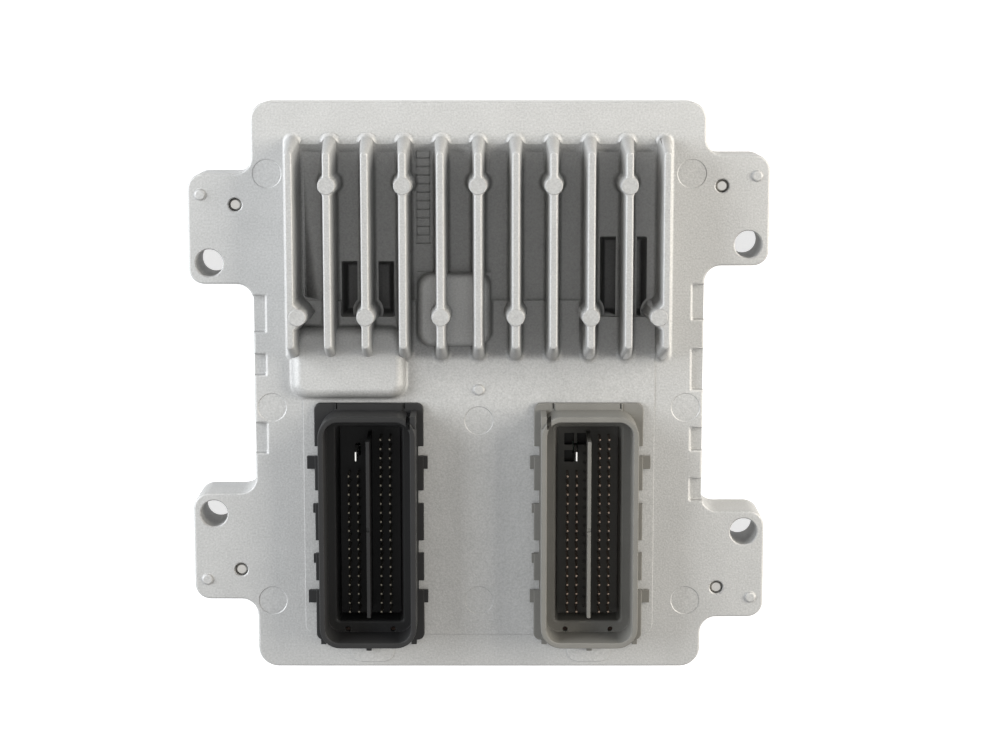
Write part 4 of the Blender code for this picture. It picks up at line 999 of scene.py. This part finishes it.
def cooling_fins(fins, face):
    """All the fins: upper posts on every second one, lower posts on those between."""
    upper = fin_with_post(fins, face, 0.0, fins.upper_post)
    lower = fin_with_post(fins, face, 0.0, fins.lower_post)
    first = fin_with_post(fins, face, fins.end_shift, fins.lower_post)
    last = fin_with_post(fins, face, -fins.end_shift, fins.lower_post)
    kinds = [upper if index % 2 else lower for index in range(fins.count)]
    kinds[0] = first
    kinds[-1] = last
    made = [copy_to(kind, "fin", fin_x(fins, index)) for index, kind in enumerate(kinds)]
    for kind in (upper, lower, first, last):
        bpy.data.objects.remove(kind)
    return made


def well_fins(fins, face):
    """Feet of the fins that run down into the wells."""
    floor = face - fins.floor_depth
    half = fins.crest / 2 + fins.draft
    return [stacked("well_fin", (fin_x(fins, index), WELL_LOW + reach / 2),
                    (2 * half, reach + 2 * BITE), 0.0,
                    [(WELL_BOTTOM - BITE, fins.draft), (floor, 0.0)])
            for index, (*_, reach) in zip(WELL_FINS, WELLS)]


def sunk_floors(fins, face):
    """Cutters for the sunk floor between the fins, left out round the coil's cover."""
    (bump_x, bump_y), (bump_width, bump_length) = COIL_BUMP[:2]
    left = bump_x - bump_width / 2
    right = bump_x + bump_width / 2
    levels = straight(face - fins.floor_depth, face + 3 * PAST)
    first = fin_x(fins, 0)
    last = fin_x(fins, fins.count - 1)
    floors = [span("floor", first, left, fins.floor_low, fins.floor_high, levels),
              span("floor", left - BITE, right + BITE, bump_y + bump_length / 2, fins.floor_high, levels),
              span("floor", right, last, fins.floor_low, fins.floor_high, levels)]
    for floor in floors:
        open_mesh(floor)
        pick("VERT", lambda corner: near(corner.co.y, fins.floor_high) and corner.co.z > face)
        bpy.ops.transform.translate(value=(0, fins.floor_ramp, 0))
        leave_edit()
    return floors


def cell_strip(floor):
    """Cutters for the lines of the strip of empty cells: its two sides, then the lines across."""
    middle, width, low, cells = CELL_STRIP
    line, depth = CELL_LINE
    levels = straight(floor - depth, floor + BITE / 2)
    high = low + cells * CELL_PITCH
    made = [stacked("cell_side", (middle + side * width / 2, (low + high) / 2), (line, high - low + line),
                    0.0, levels) for side in (-1, 1)]
    first = stacked("cell_line", (middle, low), (width, line), 0.0, levels)
    return made + [first] + [copy_to(first, "cell_line", 0.0, step * CELL_PITCH)
                             for step in range(1, cells + 1)]


def dome(x, y, base):
    """Small cast dome with a soft foot."""
    radius, rise, root = DOME
    levels = [(base - BITE, radius + root)] + fillet(base, radius, root, EDGE_STEPS)[:-1]
    levels += brow(base + rise, radius, rise - root / 2, EDGE_STEPS + 1)
    return turned("dome", (x, y), levels, FIN_SIDES)


def edge_recess(side, middle, reach, casting):
    """Recess in the plate's side edge."""
    x = side * (casting.plate_width / 2 + PAST - RECESS_REACH / 2)
    levels = sole(casting.face - RECESS_DEPTH, 0.0, BACK_EDGE) + mouth(casting.face, 0.0, RECESS_EDGE)
    return stacked("edge_recess", (x, middle), (RECESS_REACH + 2 * PAST, reach), RECESS_CORNER, levels,
                   EDGE_STEPS + 1)


def through_hole(name, centre, radius, face):
    """Hole right through an ear, chamfered on both sides."""
    wide = radius + HOLE_CHAMFER + PAST
    return turned(name, centre, [(-PAST, wide), (HOLE_CHAMFER, radius), (face - HOLE_CHAMFER, radius),
                                 (face + PAST, wide)])


def ear_core(side, end, middle, casting):
    """Pocket that lightens an ear from the back, beside its bolt boss."""
    outer = side * (HOUSING_HIGH.x - EAR_CORE_WALL)
    inner = side * (COVER_HIGH.x + 3 * FIT)
    near_end = end * (middle - BOLT_OFFSET + casting.bolt_hole / 2 + BOLT_BOSS_WALL)
    far_end = end * (middle + casting.ear_length / 2 - EAR_CORE_WALL)
    return span("ear_core", inner, outer, near_end, far_end, edged(-PAST, CEILING, BACK_EDGE),
                EAR_CORE_CORNER)


def neck_size(header):
    """Section of a header's neck."""
    return (header.socket_width - 2 * SIDE_LEDGE + 2 * NECK_WALL,
            header.socket_length - 2 * END_LEDGE + 2 * NECK_WALL)


def header_x(shade):
    """Middle of a header in X."""
    return -HEADERS[shade] * HEADER_X


def header_openings(shade, header, casting):
    """Aperture for a header's neck and the rebate for its seal."""
    top = casting.face + casting.plateau_rise
    centre = (header_x(shade), HEADER_Y)
    seal_width, seal_height = NECK_SEAL
    return [stacked("aperture", centre, neck_size(header), NECK_CORNER,
                    straight(CEILING - PAST, top + PAST, FIT)),
            stacked("seal_rebate", centre, neck_size(header), NECK_CORNER,
                    straight(top - seal_height - FIT, top + PAST, 2 * FIT + seal_width))]


def marking_pad(shade, casting):
    """Low bare pad between a header and the plate's lower edge."""
    x = header_x(shade) + PAD_SHIFT
    high = HEADER_Y + BASE_SHIFT - BASE_SIZE[1] / 2 + PAST
    return span("marking_pad", x - PAD_WIDTH / 2, x + PAD_WIDTH / 2, PAD_LOW, high,
                edged(casting.face - BITE, casting.face + PAD_RISE, STEP_EDGE), PAD_WIDTH / 4)


def ear_holes(casting):
    """Bolt holes, screw holes and lightening pockets of the ears."""
    tools = []
    for side, end, middle in ears(casting):
        bolt = (side * (HOUSING_HIGH.x - BOLT_INSET), end * (middle - BOLT_OFFSET))
        tools.append(through_hole("bolt_hole", bolt, casting.bolt_hole / 2, casting.face))
        tools.append(ear_core(side, end, middle, casting))
    return tools + [through_hole("screw_hole", place, casting.screw_hole / 2, casting.face)
                    for place in SCREW_PLACES]


def ejector_marks(casting):
    """Round marks that the ejector pins leave, sunk by a hair with a sloped rim."""
    plateau = casting.face + casting.plateau_rise
    return [turned("ejector_mark", (x * MM, y * MM),
                   [(surface - EJECTOR_DEPTH, EJECTOR_RADIUS - EJECTOR_SLOPE * EJECTOR_DEPTH),
                    (surface + PAST, EJECTOR_RADIUS + EJECTOR_SLOPE * PAST)])
            for places, surface in ((EJECTORS_ON_FACE, casting.face), (EJECTORS_ON_PLATEAU, plateau))
            for x, y in places]


def fin_skirts(fins, casting):
    """Fillets round the feet of all the fins, before the floor between them is sunk."""
    made = []
    for index in range(fins.count):
        x = fin_x(fins, index)
        raised = abs(x) < casting.plateau_width / 2
        skirt = fin_skirt(fins, casting.face, casting.face + casting.plateau_rise * raised)
        skirt.location.x = x
        made.append(skirt)
    return made


class CONTROL_OT_casting(bpy.types.Operator):
    """Model the die-cast front housing"""

    bl_idname = "control_unit.casting"
    bl_label = "Front housing"

    def execute(self, context):
        casting = context.scene.unit_casting
        fins = context.scene.unit_fins
        face = casting.face
        plateau = face + casting.plateau_rise
        housing = plate_with_ears(casting)
        field = stacked("plateau", (0, 0), (casting.plateau_width, casting.plateau_length),
                        PLATEAU_CORNER, edged(face - BITE, plateau, STEP_EDGE))
        join(housing, [field] + [marking_pad(shade, casting) for shade in HEADERS])
        cavity = stacked("cavity", (0, 0), (casting.plate_width - 2 * casting.side_wall,
                                            2 * (HOUSING_HIGH.y - casting.side_wall)),
                         LOWER_CORNER - casting.side_wall, straight(-PAST, CEILING))
        cut(housing, [cavity, cover_plate("cover_recess", casting, HOUSING_HIGH.y - COVER_HIGH.y + FIT,
                                          -PAST, WALL_END, (0, 0))])
        cut(housing, [seal_groove(casting)])

        shells = [well("well_shell", *place, [(WELL_UNDERSIDE, WELL_WALL - WELL_DRAFT),
                                              (CEILING + BITE, WELL_WALL)]) for place in WELLS]
        posts = [turned("board_post", (side * BOARD_POST[0], end * BOARD_POST[1]),
                        [(SEAT, BOARD_POST_RADIUS), (CEILING + BITE, BOARD_POST_RADIUS + casting.edge)],
                        SMALL_SIDES)
                 for side in (-1, 1) for end in (-1, 1)]
        join(housing, [bump(*place, casting) for place in (COIL_BUMP, CAPACITOR_BUMP)]
             + shells + posts + fin_skirts(fins, casting))
        hollows = [well("well_hollow", *place, sole(WELL_BOTTOM, -WELL_DRAFT, WELL_SOLE)
                        + [(face, 0.0), (face + 3 * PAST, 0.0)]) for place in WELLS]
        cut(housing, sunk_floors(fins, face) + hollows)

        domes = [dome(side * (HOUSING_HIGH.x - DOME_INSET), end * (middle + DOME_OFFSET), face)
                 for side, end, middle in ears(casting)]
        join(housing, cooling_fins(fins, face) + well_fins(fins, face) + domes + [dome(0, 0, plateau)])

        tools = ear_holes(casting) + ejector_marks(casting)
        tools += [edge_recess(side, *place, casting)
                  for side, places in ((-1, LEFT_RECESSES), (1, RIGHT_RECESSES)) for place in places]
        tools += [bump_hollow(*place[:4], casting) for place in (COIL_BUMP, CAPACITOR_BUMP)]
        for shade in HEADERS:
            tools += header_openings(shade, context.scene.unit_headers, casting)
        cut(housing, tools)
        cut(housing, cell_strip(face - fins.floor_depth))
        dress(housing, cast_finish(context.scene.unit_colours.casting), "cast_aluminium", "front_housing")
        level_off(housing)
        return {"FINISHED"}


# Headers


def moulding(shade, x, header):
    """Header's neck, base plate and shroud with all that stands on them, still solid."""
    centre = (x, HEADER_Y)
    shell = stacked(f"{shade}_header_shell", centre, neck_size(header), NECK_CORNER,
                    straight(SEAT, BASE_LOW + BITE))
    shroud = (header.socket_width + 2 * SHROUD_WALL, header.socket_length + 2 * SHROUD_WALL)
    outward = x - HEADERS[shade] * LUG_SHIFT
    base_y = HEADER_Y + BASE_SHIFT
    base_end = base_y - BASE_SIZE[1] / 2
    tabs = [("lug", (outward, HEADER_Y + offset), (BASE_SIZE[0] + 2 * LUG_REACH, LUG_LENGTH))
            for offset in LUGS]
    tabs += [("foot", (outward + offset, base_end + PAST - reach / 2),
              (FOOT_WIDTH, reach + 2 * PAST)) for offset, reach in FEET]
    tabs += [("nub", (x - BASE_SIZE[0] / 2 + (PAST - NUB_REACH) / 2, HEADER_Y + offset),
              (NUB_REACH + PAST, NUB_LENGTH)) for offset in NUBS]
    parts = [stacked("base", (x, base_y), BASE_SIZE, BASE_CORNER, edged(BASE_LOW, BASE_HIGH, RIM_EDGE)),
             stacked("shroud", centre, shroud, SOCKET_CORNER + SHROUD_WALL,
                     edged(BASE_HIGH - BITE, RIM, RIM_EDGE))]
    parts += [stacked(*tab, FINE_EDGE, edged(BASE_LOW, BASE_HIGH - BITE / 2, FINE_EDGE), EDGE_STEPS)
              for tab in tabs]
    parts.append(span("strip", x - STRIP_HALF, x + STRIP_HALF, HEADER_Y + shroud[1] / 2 - PAST,
                      base_y + BASE_SIZE[1] / 2 - FINE_EDGE,
                      edged(BASE_HIGH - BITE, BASE_HIGH + STRIP_RISE, FINE_EDGE)))
    for end in (-1, 1):
        parts.append(turned("peg", (x, HEADER_Y + end * PEG_SPREAD),
                            [(PEG_LOW, PEG_RADIUS - RIM_EDGE), (PEG_LOW + RIM_EDGE, PEG_RADIUS),
                             (SEAT + BITE, PEG_RADIUS)], SMALL_SIDES))
    join(shell, parts)
    return shell


def guide_rib(shade, x, header):
    """Coding rib in the shroud's upper corner, and the slot on its inner side as a cutter."""
    hand = HEADERS[shade]
    middle = x + hand * (header.socket_width / 2 + SHROUD_WALL - GUIDE_WIDTH / 2)
    end = HEADER_Y + header.socket_length / 2 + SHROUD_WALL
    rib = span("guide", middle - GUIDE_WIDTH / 2, middle + GUIDE_WIDTH / 2, end - GUIDE_REACH, end,
               edged(BASE_HIGH - BITE, GUIDE_TOP, FINE_EDGE))
    inner = middle - hand * GUIDE_WIDTH / 2
    slot = span("guide_slot", inner, inner - hand * GUIDE_SLOT[shade], end - GUIDE_REACH, end + PAST,
                straight(GUIDE_SLOT_FLOOR, RIM + PAST))
    return rib, slot


def first_pin(header):
    """Place of the first pin row in Y."""
    return HEADER_Y + header.pin_shift + (PIN_ROWS - 1) * header.pin_pitch / 2


def blade_y(header):
    """Middle of the ground blade in Y."""
    return first_pin(header) - BLADE_ROW * header.pin_pitch


def moulding_hollows(shade, x, header):
    """Socket, pin well, blade slot, notches, strip lines and ledge holes of a header."""
    centre = (x, HEADER_Y)
    field = (header.socket_width - 2 * SIDE_LEDGE, header.socket_length - 2 * END_LEDGE)
    hollows = [stacked("socket", centre, (header.socket_width, header.socket_length), SOCKET_CORNER,
                       sole(BASE_HIGH, 0.0, FINE_EDGE) + mouth(RIM, 0.0, RIM_EDGE)),
               stacked("pin_well", centre, field, PIN_WELL_CORNER,
                       sole(PIN_FLOOR, -PIN_WELL_DRAFT, RIM_EDGE) + mouth(BASE_HIGH, 0.0, PIN_WELL_EDGE)),
               stacked("blade_slot", (x + BLADE_X, blade_y(header)), BLADE_SIZE, 0.0,
                       straight(SEAT - PAST, PIN_FLOOR + PAST, FIT))]
    for side in (-1, 1):
        edge = x + side * BASE_SIZE[0] / 2
        for offset, reach in NOTCHES:
            hollows.append(stacked("notch", (edge, HEADER_Y + offset), (2 * NOTCH_DEPTH, reach), FINE_EDGE,
                                   straight(BASE_LOW - PAST, BASE_HIGH + BITE), EDGE_STEPS))
        width, depth = STRIP_LINE
        middle = x + HEADERS[shade] * LUG_SHIFT + side * STRIP_HALF
        hollows.append(span("strip_line", middle - width / 2, middle + width / 2,
                            HEADER_Y + header.socket_length / 2 + SHROUD_WALL + FIT, HEADER_Y + BASE_SIZE[1],
                            straight(BASE_HIGH - depth, BASE_HIGH + PAST)))
        radius, depth = LEDGE_HOLE
        place = (x + side * LEDGE_HOLE_SPREAD, HEADER_Y - header.socket_length / 2 + END_LEDGE / 4)
        hollows.append(turned("ledge_hole", place, [(BASE_HIGH - depth, radius)]
                              + mouth(BASE_HIGH, radius, FINE_EDGE), SMALL_SIDES))
    return hollows


def centre_rib(x, header):
    """Rib between the two halves of a header: sloped at its upper end and notched in its middle."""
    high_y = first_pin(header) + header.pin_pitch / 2
    low_y = first_pin(header) - (PIN_ROWS - 1) * header.pin_pitch
    rib = span("rib", x - header.rib / 2, x + header.rib / 2, low_y, high_y,
               edged(PIN_FLOOR - BITE, header.rib_top, FINE_EDGE))
    open_mesh(rib)
    pick("VERT", lambda corner: corner.co.y > HEADER_Y and corner.co.z > PIN_FLOOR + PAST)
    bpy.ops.transform.translate(value=(0, -RIB_SLOPE, 0))
    leave_edit()
    cut(rib, [stacked("rib_notch", (x, HEADER_Y), (2 * PAST, RIB_NOTCH), 0.0,
                      straight(header.rib_top - RIB_NOTCH, header.rib_top + PAST))])
    return rib


def rib_scallops(x, header):
    """Row of small hollows in the foot of the grey header's rib."""
    first = turned("scallop", (x - header.rib / 2 - SCALLOP_RADIUS / 2, first_pin(header)),
                   straight(PIN_FLOOR - BITE, PIN_FLOOR + 3 * PAST, SCALLOP_RADIUS), SMALL_SIDES)
    made = [copy_to(first, "scallop", 0.0, -row * header.pin_pitch) for row in range(1, PIN_ROWS)]
    return [first] + made


def blade_pockets(x, header):
    """Square pockets in the floor round the grey header's blade."""
    return [stacked("pocket", (x + across, blade_y(header) + along), POCKET, FINE_EDGE,
                    straight(PIN_FLOOR - 3 * PAST, PIN_FLOOR + PAST), EDGE_STEPS)
            for across, along in POCKETS]


class CONTROL_OT_headers(bpy.types.Operator):
    """Model the mouldings of both pin headers"""

    bl_idname = "control_unit.headers"
    bl_label = "Pin headers"

    def execute(self, context):
        header = context.scene.unit_headers
        colours = context.scene.unit_colours
        for shade, tint in (("black", colours.black), ("grey", colours.grey)):
            x = header_x(shade)
            shell = moulding(shade, x, header)
            guide, slot = guide_rib(shade, x, header)
            cut(shell, moulding_hollows(shade, x, header) + [slot])
            join(shell, [centre_rib(x, header), guide])
            if shade == "grey":
                cut(shell, rib_scallops(x, header) + blade_pockets(x, header))
            dress(shell, moulded_finish(f"{shade}_moulding", tint, 0.45), f"{shade}_plastic",
                  f"{shade}_header")
            level_off(shell)
        return {"FINISHED"}


def pin_field(header):
    """All pins of a header, round its middle: full columns on the right, short ones by the blade."""
    pin = stacked("pin", (0, 0), (header.pin, header.pin), 0.0,
                  edged(PIN_FLOOR - BITE / 2, header.pin_top, PIN_EDGE, 2))
    pins = []
    for side in (-1, 1):
        for column in (header.pin_inner, header.pin_outer):
            for row in range(PIN_ROWS - SHORT_ROWS if side < 0 else 0, PIN_ROWS):
                pins.append(copy_to(pin, "pin", side * column, first_pin(header) - row * header.pin_pitch))
    bpy.data.objects.remove(pin)
    return gather("pins", pins)


def ground_blade(shade, x, header):
    """Wide flat contact with a tapered tip."""
    centre = (x + BLADE_X, blade_y(header))
    shoulder = BLADE_TOP - BLADE_POINT
    blade = stacked(f"{shade}_blade", centre, BLADE_SIZE, FINE_EDGE, straight(SEAT, shoulder), EDGE_STEPS)
    open_mesh(blade)
    pick("FACE", flat_at(shoulder))
    extrude(0, 0, BLADE_POINT)
    resize(BLADE_TIP[0] / BLADE_SIZE[0], BLADE_TIP[1] / BLADE_SIZE[1], (*centre, BLADE_TOP))
    leave_edit()
    return blade


class CONTROL_OT_contacts(bpy.types.Operator):
    """Model the pins and the ground blades"""

    bl_idname = "control_unit.contacts"
    bl_label = "Contacts"

    def execute(self, context):
        header = context.scene.unit_headers
        colours = context.scene.unit_colours
        field = pin_field(header)
        tin = metal_finish("tinned_blade", colours.tin, 0.25, 0.5 * MM)
        for shade, tint in (("black", colours.gold), ("grey", colours.copper)):
            x = header_x(shade)
            pins = copy_to(field, f"{shade}_pins", x)
            dress(pins, metal_finish(f"{shade}_contact", tint, 0.2, 0.4 * MM, 0.5), "contact_metal",
                  f"{shade}_header")
            dress(ground_blade(shade, x, header), tin, "contact_metal", f"{shade}_ground_blade")
        bpy.data.objects.remove(field)
        return {"FINISHED"}


# Back cover and screws


def cover_screw(name, place):
    """Countersunk screw with a threaded shank and a flat tip."""
    low = COVER_LOW.z + SCREW_SINK
    head, head_height = SCREW_HEAD
    tip, top = SCREW_TIP
    levels = [(low, head - SCREW_HEAD_EDGE), (low + SCREW_HEAD_EDGE, head), (low + head_height, SCREW_RADIUS)]
    start = top - (SCREW_RADIUS - tip) - THREAD_TURNS * THREAD_PITCH
    for turn in range(THREAD_TURNS):
        height = start + turn * THREAD_PITCH
        levels += [(height, SCREW_RADIUS), (height + THREAD_PITCH / 2, SCREW_RADIUS - THREAD_DEPTH)]
    levels += [(top - (SCREW_RADIUS - tip), SCREW_RADIUS), (top, tip)]
    screw = turned(name, place, levels, FIN_SIDES)
    socket, depth = DRIVE
    cut(screw, [turned("drive", place, straight(low - PAST, low + depth, socket), DRIVE_SIDES)])
    return screw


class CONTROL_OT_cover(bpy.types.Operator):
    """Model the back cover and its screws"""

    bl_idname = "control_unit.cover"
    bl_label = "Back cover"

    def execute(self, context):
        casting = context.scene.unit_casting
        colours = context.scene.unit_colours
        low, high = COVER_LOW.z, COVER_HIGH.z
        cover = cover_plate("cover_sheet", casting, 0.0, low, high, (LOWER_CORNER, UPPER_CORNER))
        round_rim(cover, low, BACK_EDGE, 2)
        head, head_height = SCREW_HEAD
        cut(cover, [turned("countersink", place, [
            (low - PAST, head + FIT), (low + SCREW_SINK + SCREW_HEAD_EDGE, head + FIT),
            (low + SCREW_SINK + head_height, SCREW_RADIUS + FIT), (high + PAST, SCREW_RADIUS + FIT)])
                    for place in SCREW_PLACES])
        dress(cover, rolled_finish(colours.sheet), "sheet_aluminium", "back_cover")
        steel = metal_finish("zinc_plate", colours.steel, 0.32, 0.6 * MM)
        for number, place in enumerate(SCREW_PLACES, 1):
            dress(cover_screw(f"screw_{number}", place), steel, "screw_steel", f"cover_screw_{number}")
        return {"FINISHED"}


# Pieces kept as packed


def coat(finish, nodes):
    """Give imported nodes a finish."""
    for node in nodes:
        for slot in bpy.data.objects[node].material_slots:
            slot.material = finish


class CONTROL_OT_inside(bpy.types.Operator):
    """Finish the seals, the circuit board and its components"""

    bl_idname = "control_unit.inside"
    bl_label = "Inner pieces"

    def execute(self, context):
        colours = context.scene.unit_colours
        for name, tint, roughness, cell, depth, nodes in INNER_FINISHES:
            grain = (name, getattr(colours, tint), roughness, cell * MM)
            coat(matt_finish(*grain, depth * MM) if depth else metal_finish(*grain), nodes)
        return {"FINISHED"}


# Stage


def lamp(name, place, turn, size, tint, power):
    """Square soft light that the camera doesn't see."""
    bpy.ops.object.light_add(type="AREA", location=place, rotation=(0, turn, 0))
    light = bpy.context.object
    light.name = name
    light.data.size = size
    light.data.energy = power
    light.data.color = tint
    light.visible_camera = False


def seen_directly(finish):
    """1 for rays from the camera, and for mirrored and refracted ones."""
    return sum(finish.add("LightPath", output=f"Is {kind} Ray")
               for kind in ("Camera", "Glossy", "Transmission"))


def floor_finish():
    """White paper: white to the eye, with the object's soft shadow left on it."""
    material, finish, shader = new_finish("white_paper")
    shader["Base Color"].default_value = (PAPER_SHADE, PAPER_SHADE, PAPER_SHADE, 1.0)
    shader["Roughness"].default_value = 1.0
    nodes = material.node_tree.nodes
    paper = Socket(finish, nodes["Principled BSDF"].outputs[0])
    glow = finish.add("Emission", {"Color": (1, 1, 1, 1),
                                   "Strength": seen_directly(finish) * PAPER_GLOW})
    finish.feed(nodes["Material Output"].inputs["Surface"],
                finish.add("AddShader", {0: paper, 1: glow}))
    return material


def light_world(fill):
    """White backdrop with an even light all round."""
    world = bpy.data.worlds.new("studio")
    world.use_nodes = True
    bpy.context.scene.world = world
    finish = Finish(world.node_tree)
    background = world.node_tree.nodes["Background"].inputs
    background["Color"].default_value = (1, 1, 1, 1)
    finish.feed(background["Strength"], fill + seen_directly(finish) * (1 - fill))


class CONTROL_OT_stage(bpy.types.Operator):
    """Add the floor, the camera and the lights"""

    bl_idname = "control_unit.stage"
    bl_label = "Stage"

    def execute(self, context):
        stage = context.scene.unit_stage
        leave_edit()
        bpy.ops.mesh.primitive_plane_add(size=FLOOR_SIZE, location=(0, 0, -FLOOR_DROP))
        floor = bpy.context.object
        floor.name = "floor"
        floor.data.materials.append(floor_finish())
        bpy.ops.object.transform_apply(location=True, rotation=True, scale=True)
        bpy.ops.object.camera_add(location=stage.camera, rotation=(stage.tilt, 0, 0))
        camera = bpy.context.object
        camera.data.lens = stage.lens
        camera.data.sensor_width = SENSOR
        camera.data.clip_end = CLIP_END
        context.scene.camera = camera
        for *light, power in LAMPS:
            lamp(*light, getattr(stage, power))
        light_world(stage.fill)
        context.scene.view_settings.view_transform = "Standard"
        return {"FINISHED"}


OPERATORS = (CONTROL_OT_casting, CONTROL_OT_headers, CONTROL_OT_contacts, CONTROL_OT_cover,
             CONTROL_OT_inside, CONTROL_OT_stage)


class CONTROL_PT_panel(bpy.types.Panel):
    """Buttons for every piece of the control unit"""

    bl_idname = "CONTROL_PT_panel"
    bl_label = "Control unit"
    bl_space_type = "VIEW_3D"
    bl_region_type = "UI"
    bl_category = "Control unit"

    def draw(self, context):
        for operator in OPERATORS:
            self.layout.operator(operator.bl_idname)


GROUPS = (("unit_casting", CastingSizes), ("unit_fins", FinSizes), ("unit_headers", HeaderSizes),
          ("unit_colours", FinishColours), ("unit_stage", StageSettings))


def register():
    """Register the classes and the scene's settings."""
    for name, group in GROUPS:
        bpy.utils.register_class(group)
        setattr(bpy.types.Scene, name, bpy.props.PointerProperty(type=group))
    for entry in (*OPERATORS, CONTROL_PT_panel):
        bpy.utils.register_class(entry)


def unregister():
    """Take the classes and the settings away again."""
    for entry in (CONTROL_PT_panel, *reversed(OPERATORS)):
        bpy.utils.unregister_class(entry)
    for name, group in reversed(GROUPS):
        delattr(bpy.types.Scene, name)
        bpy.utils.unregister_class(group)


def main():
    """Model every piece in order."""
    register()
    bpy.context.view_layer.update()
    bpy.ops.control_unit.casting()
    bpy.ops.control_unit.headers()
    bpy.ops.control_unit.contacts()
    bpy.ops.control_unit.cover()
    bpy.ops.control_unit.inside()
    bpy.ops.control_unit.stage()


if __name__ == "__main__":
    main()
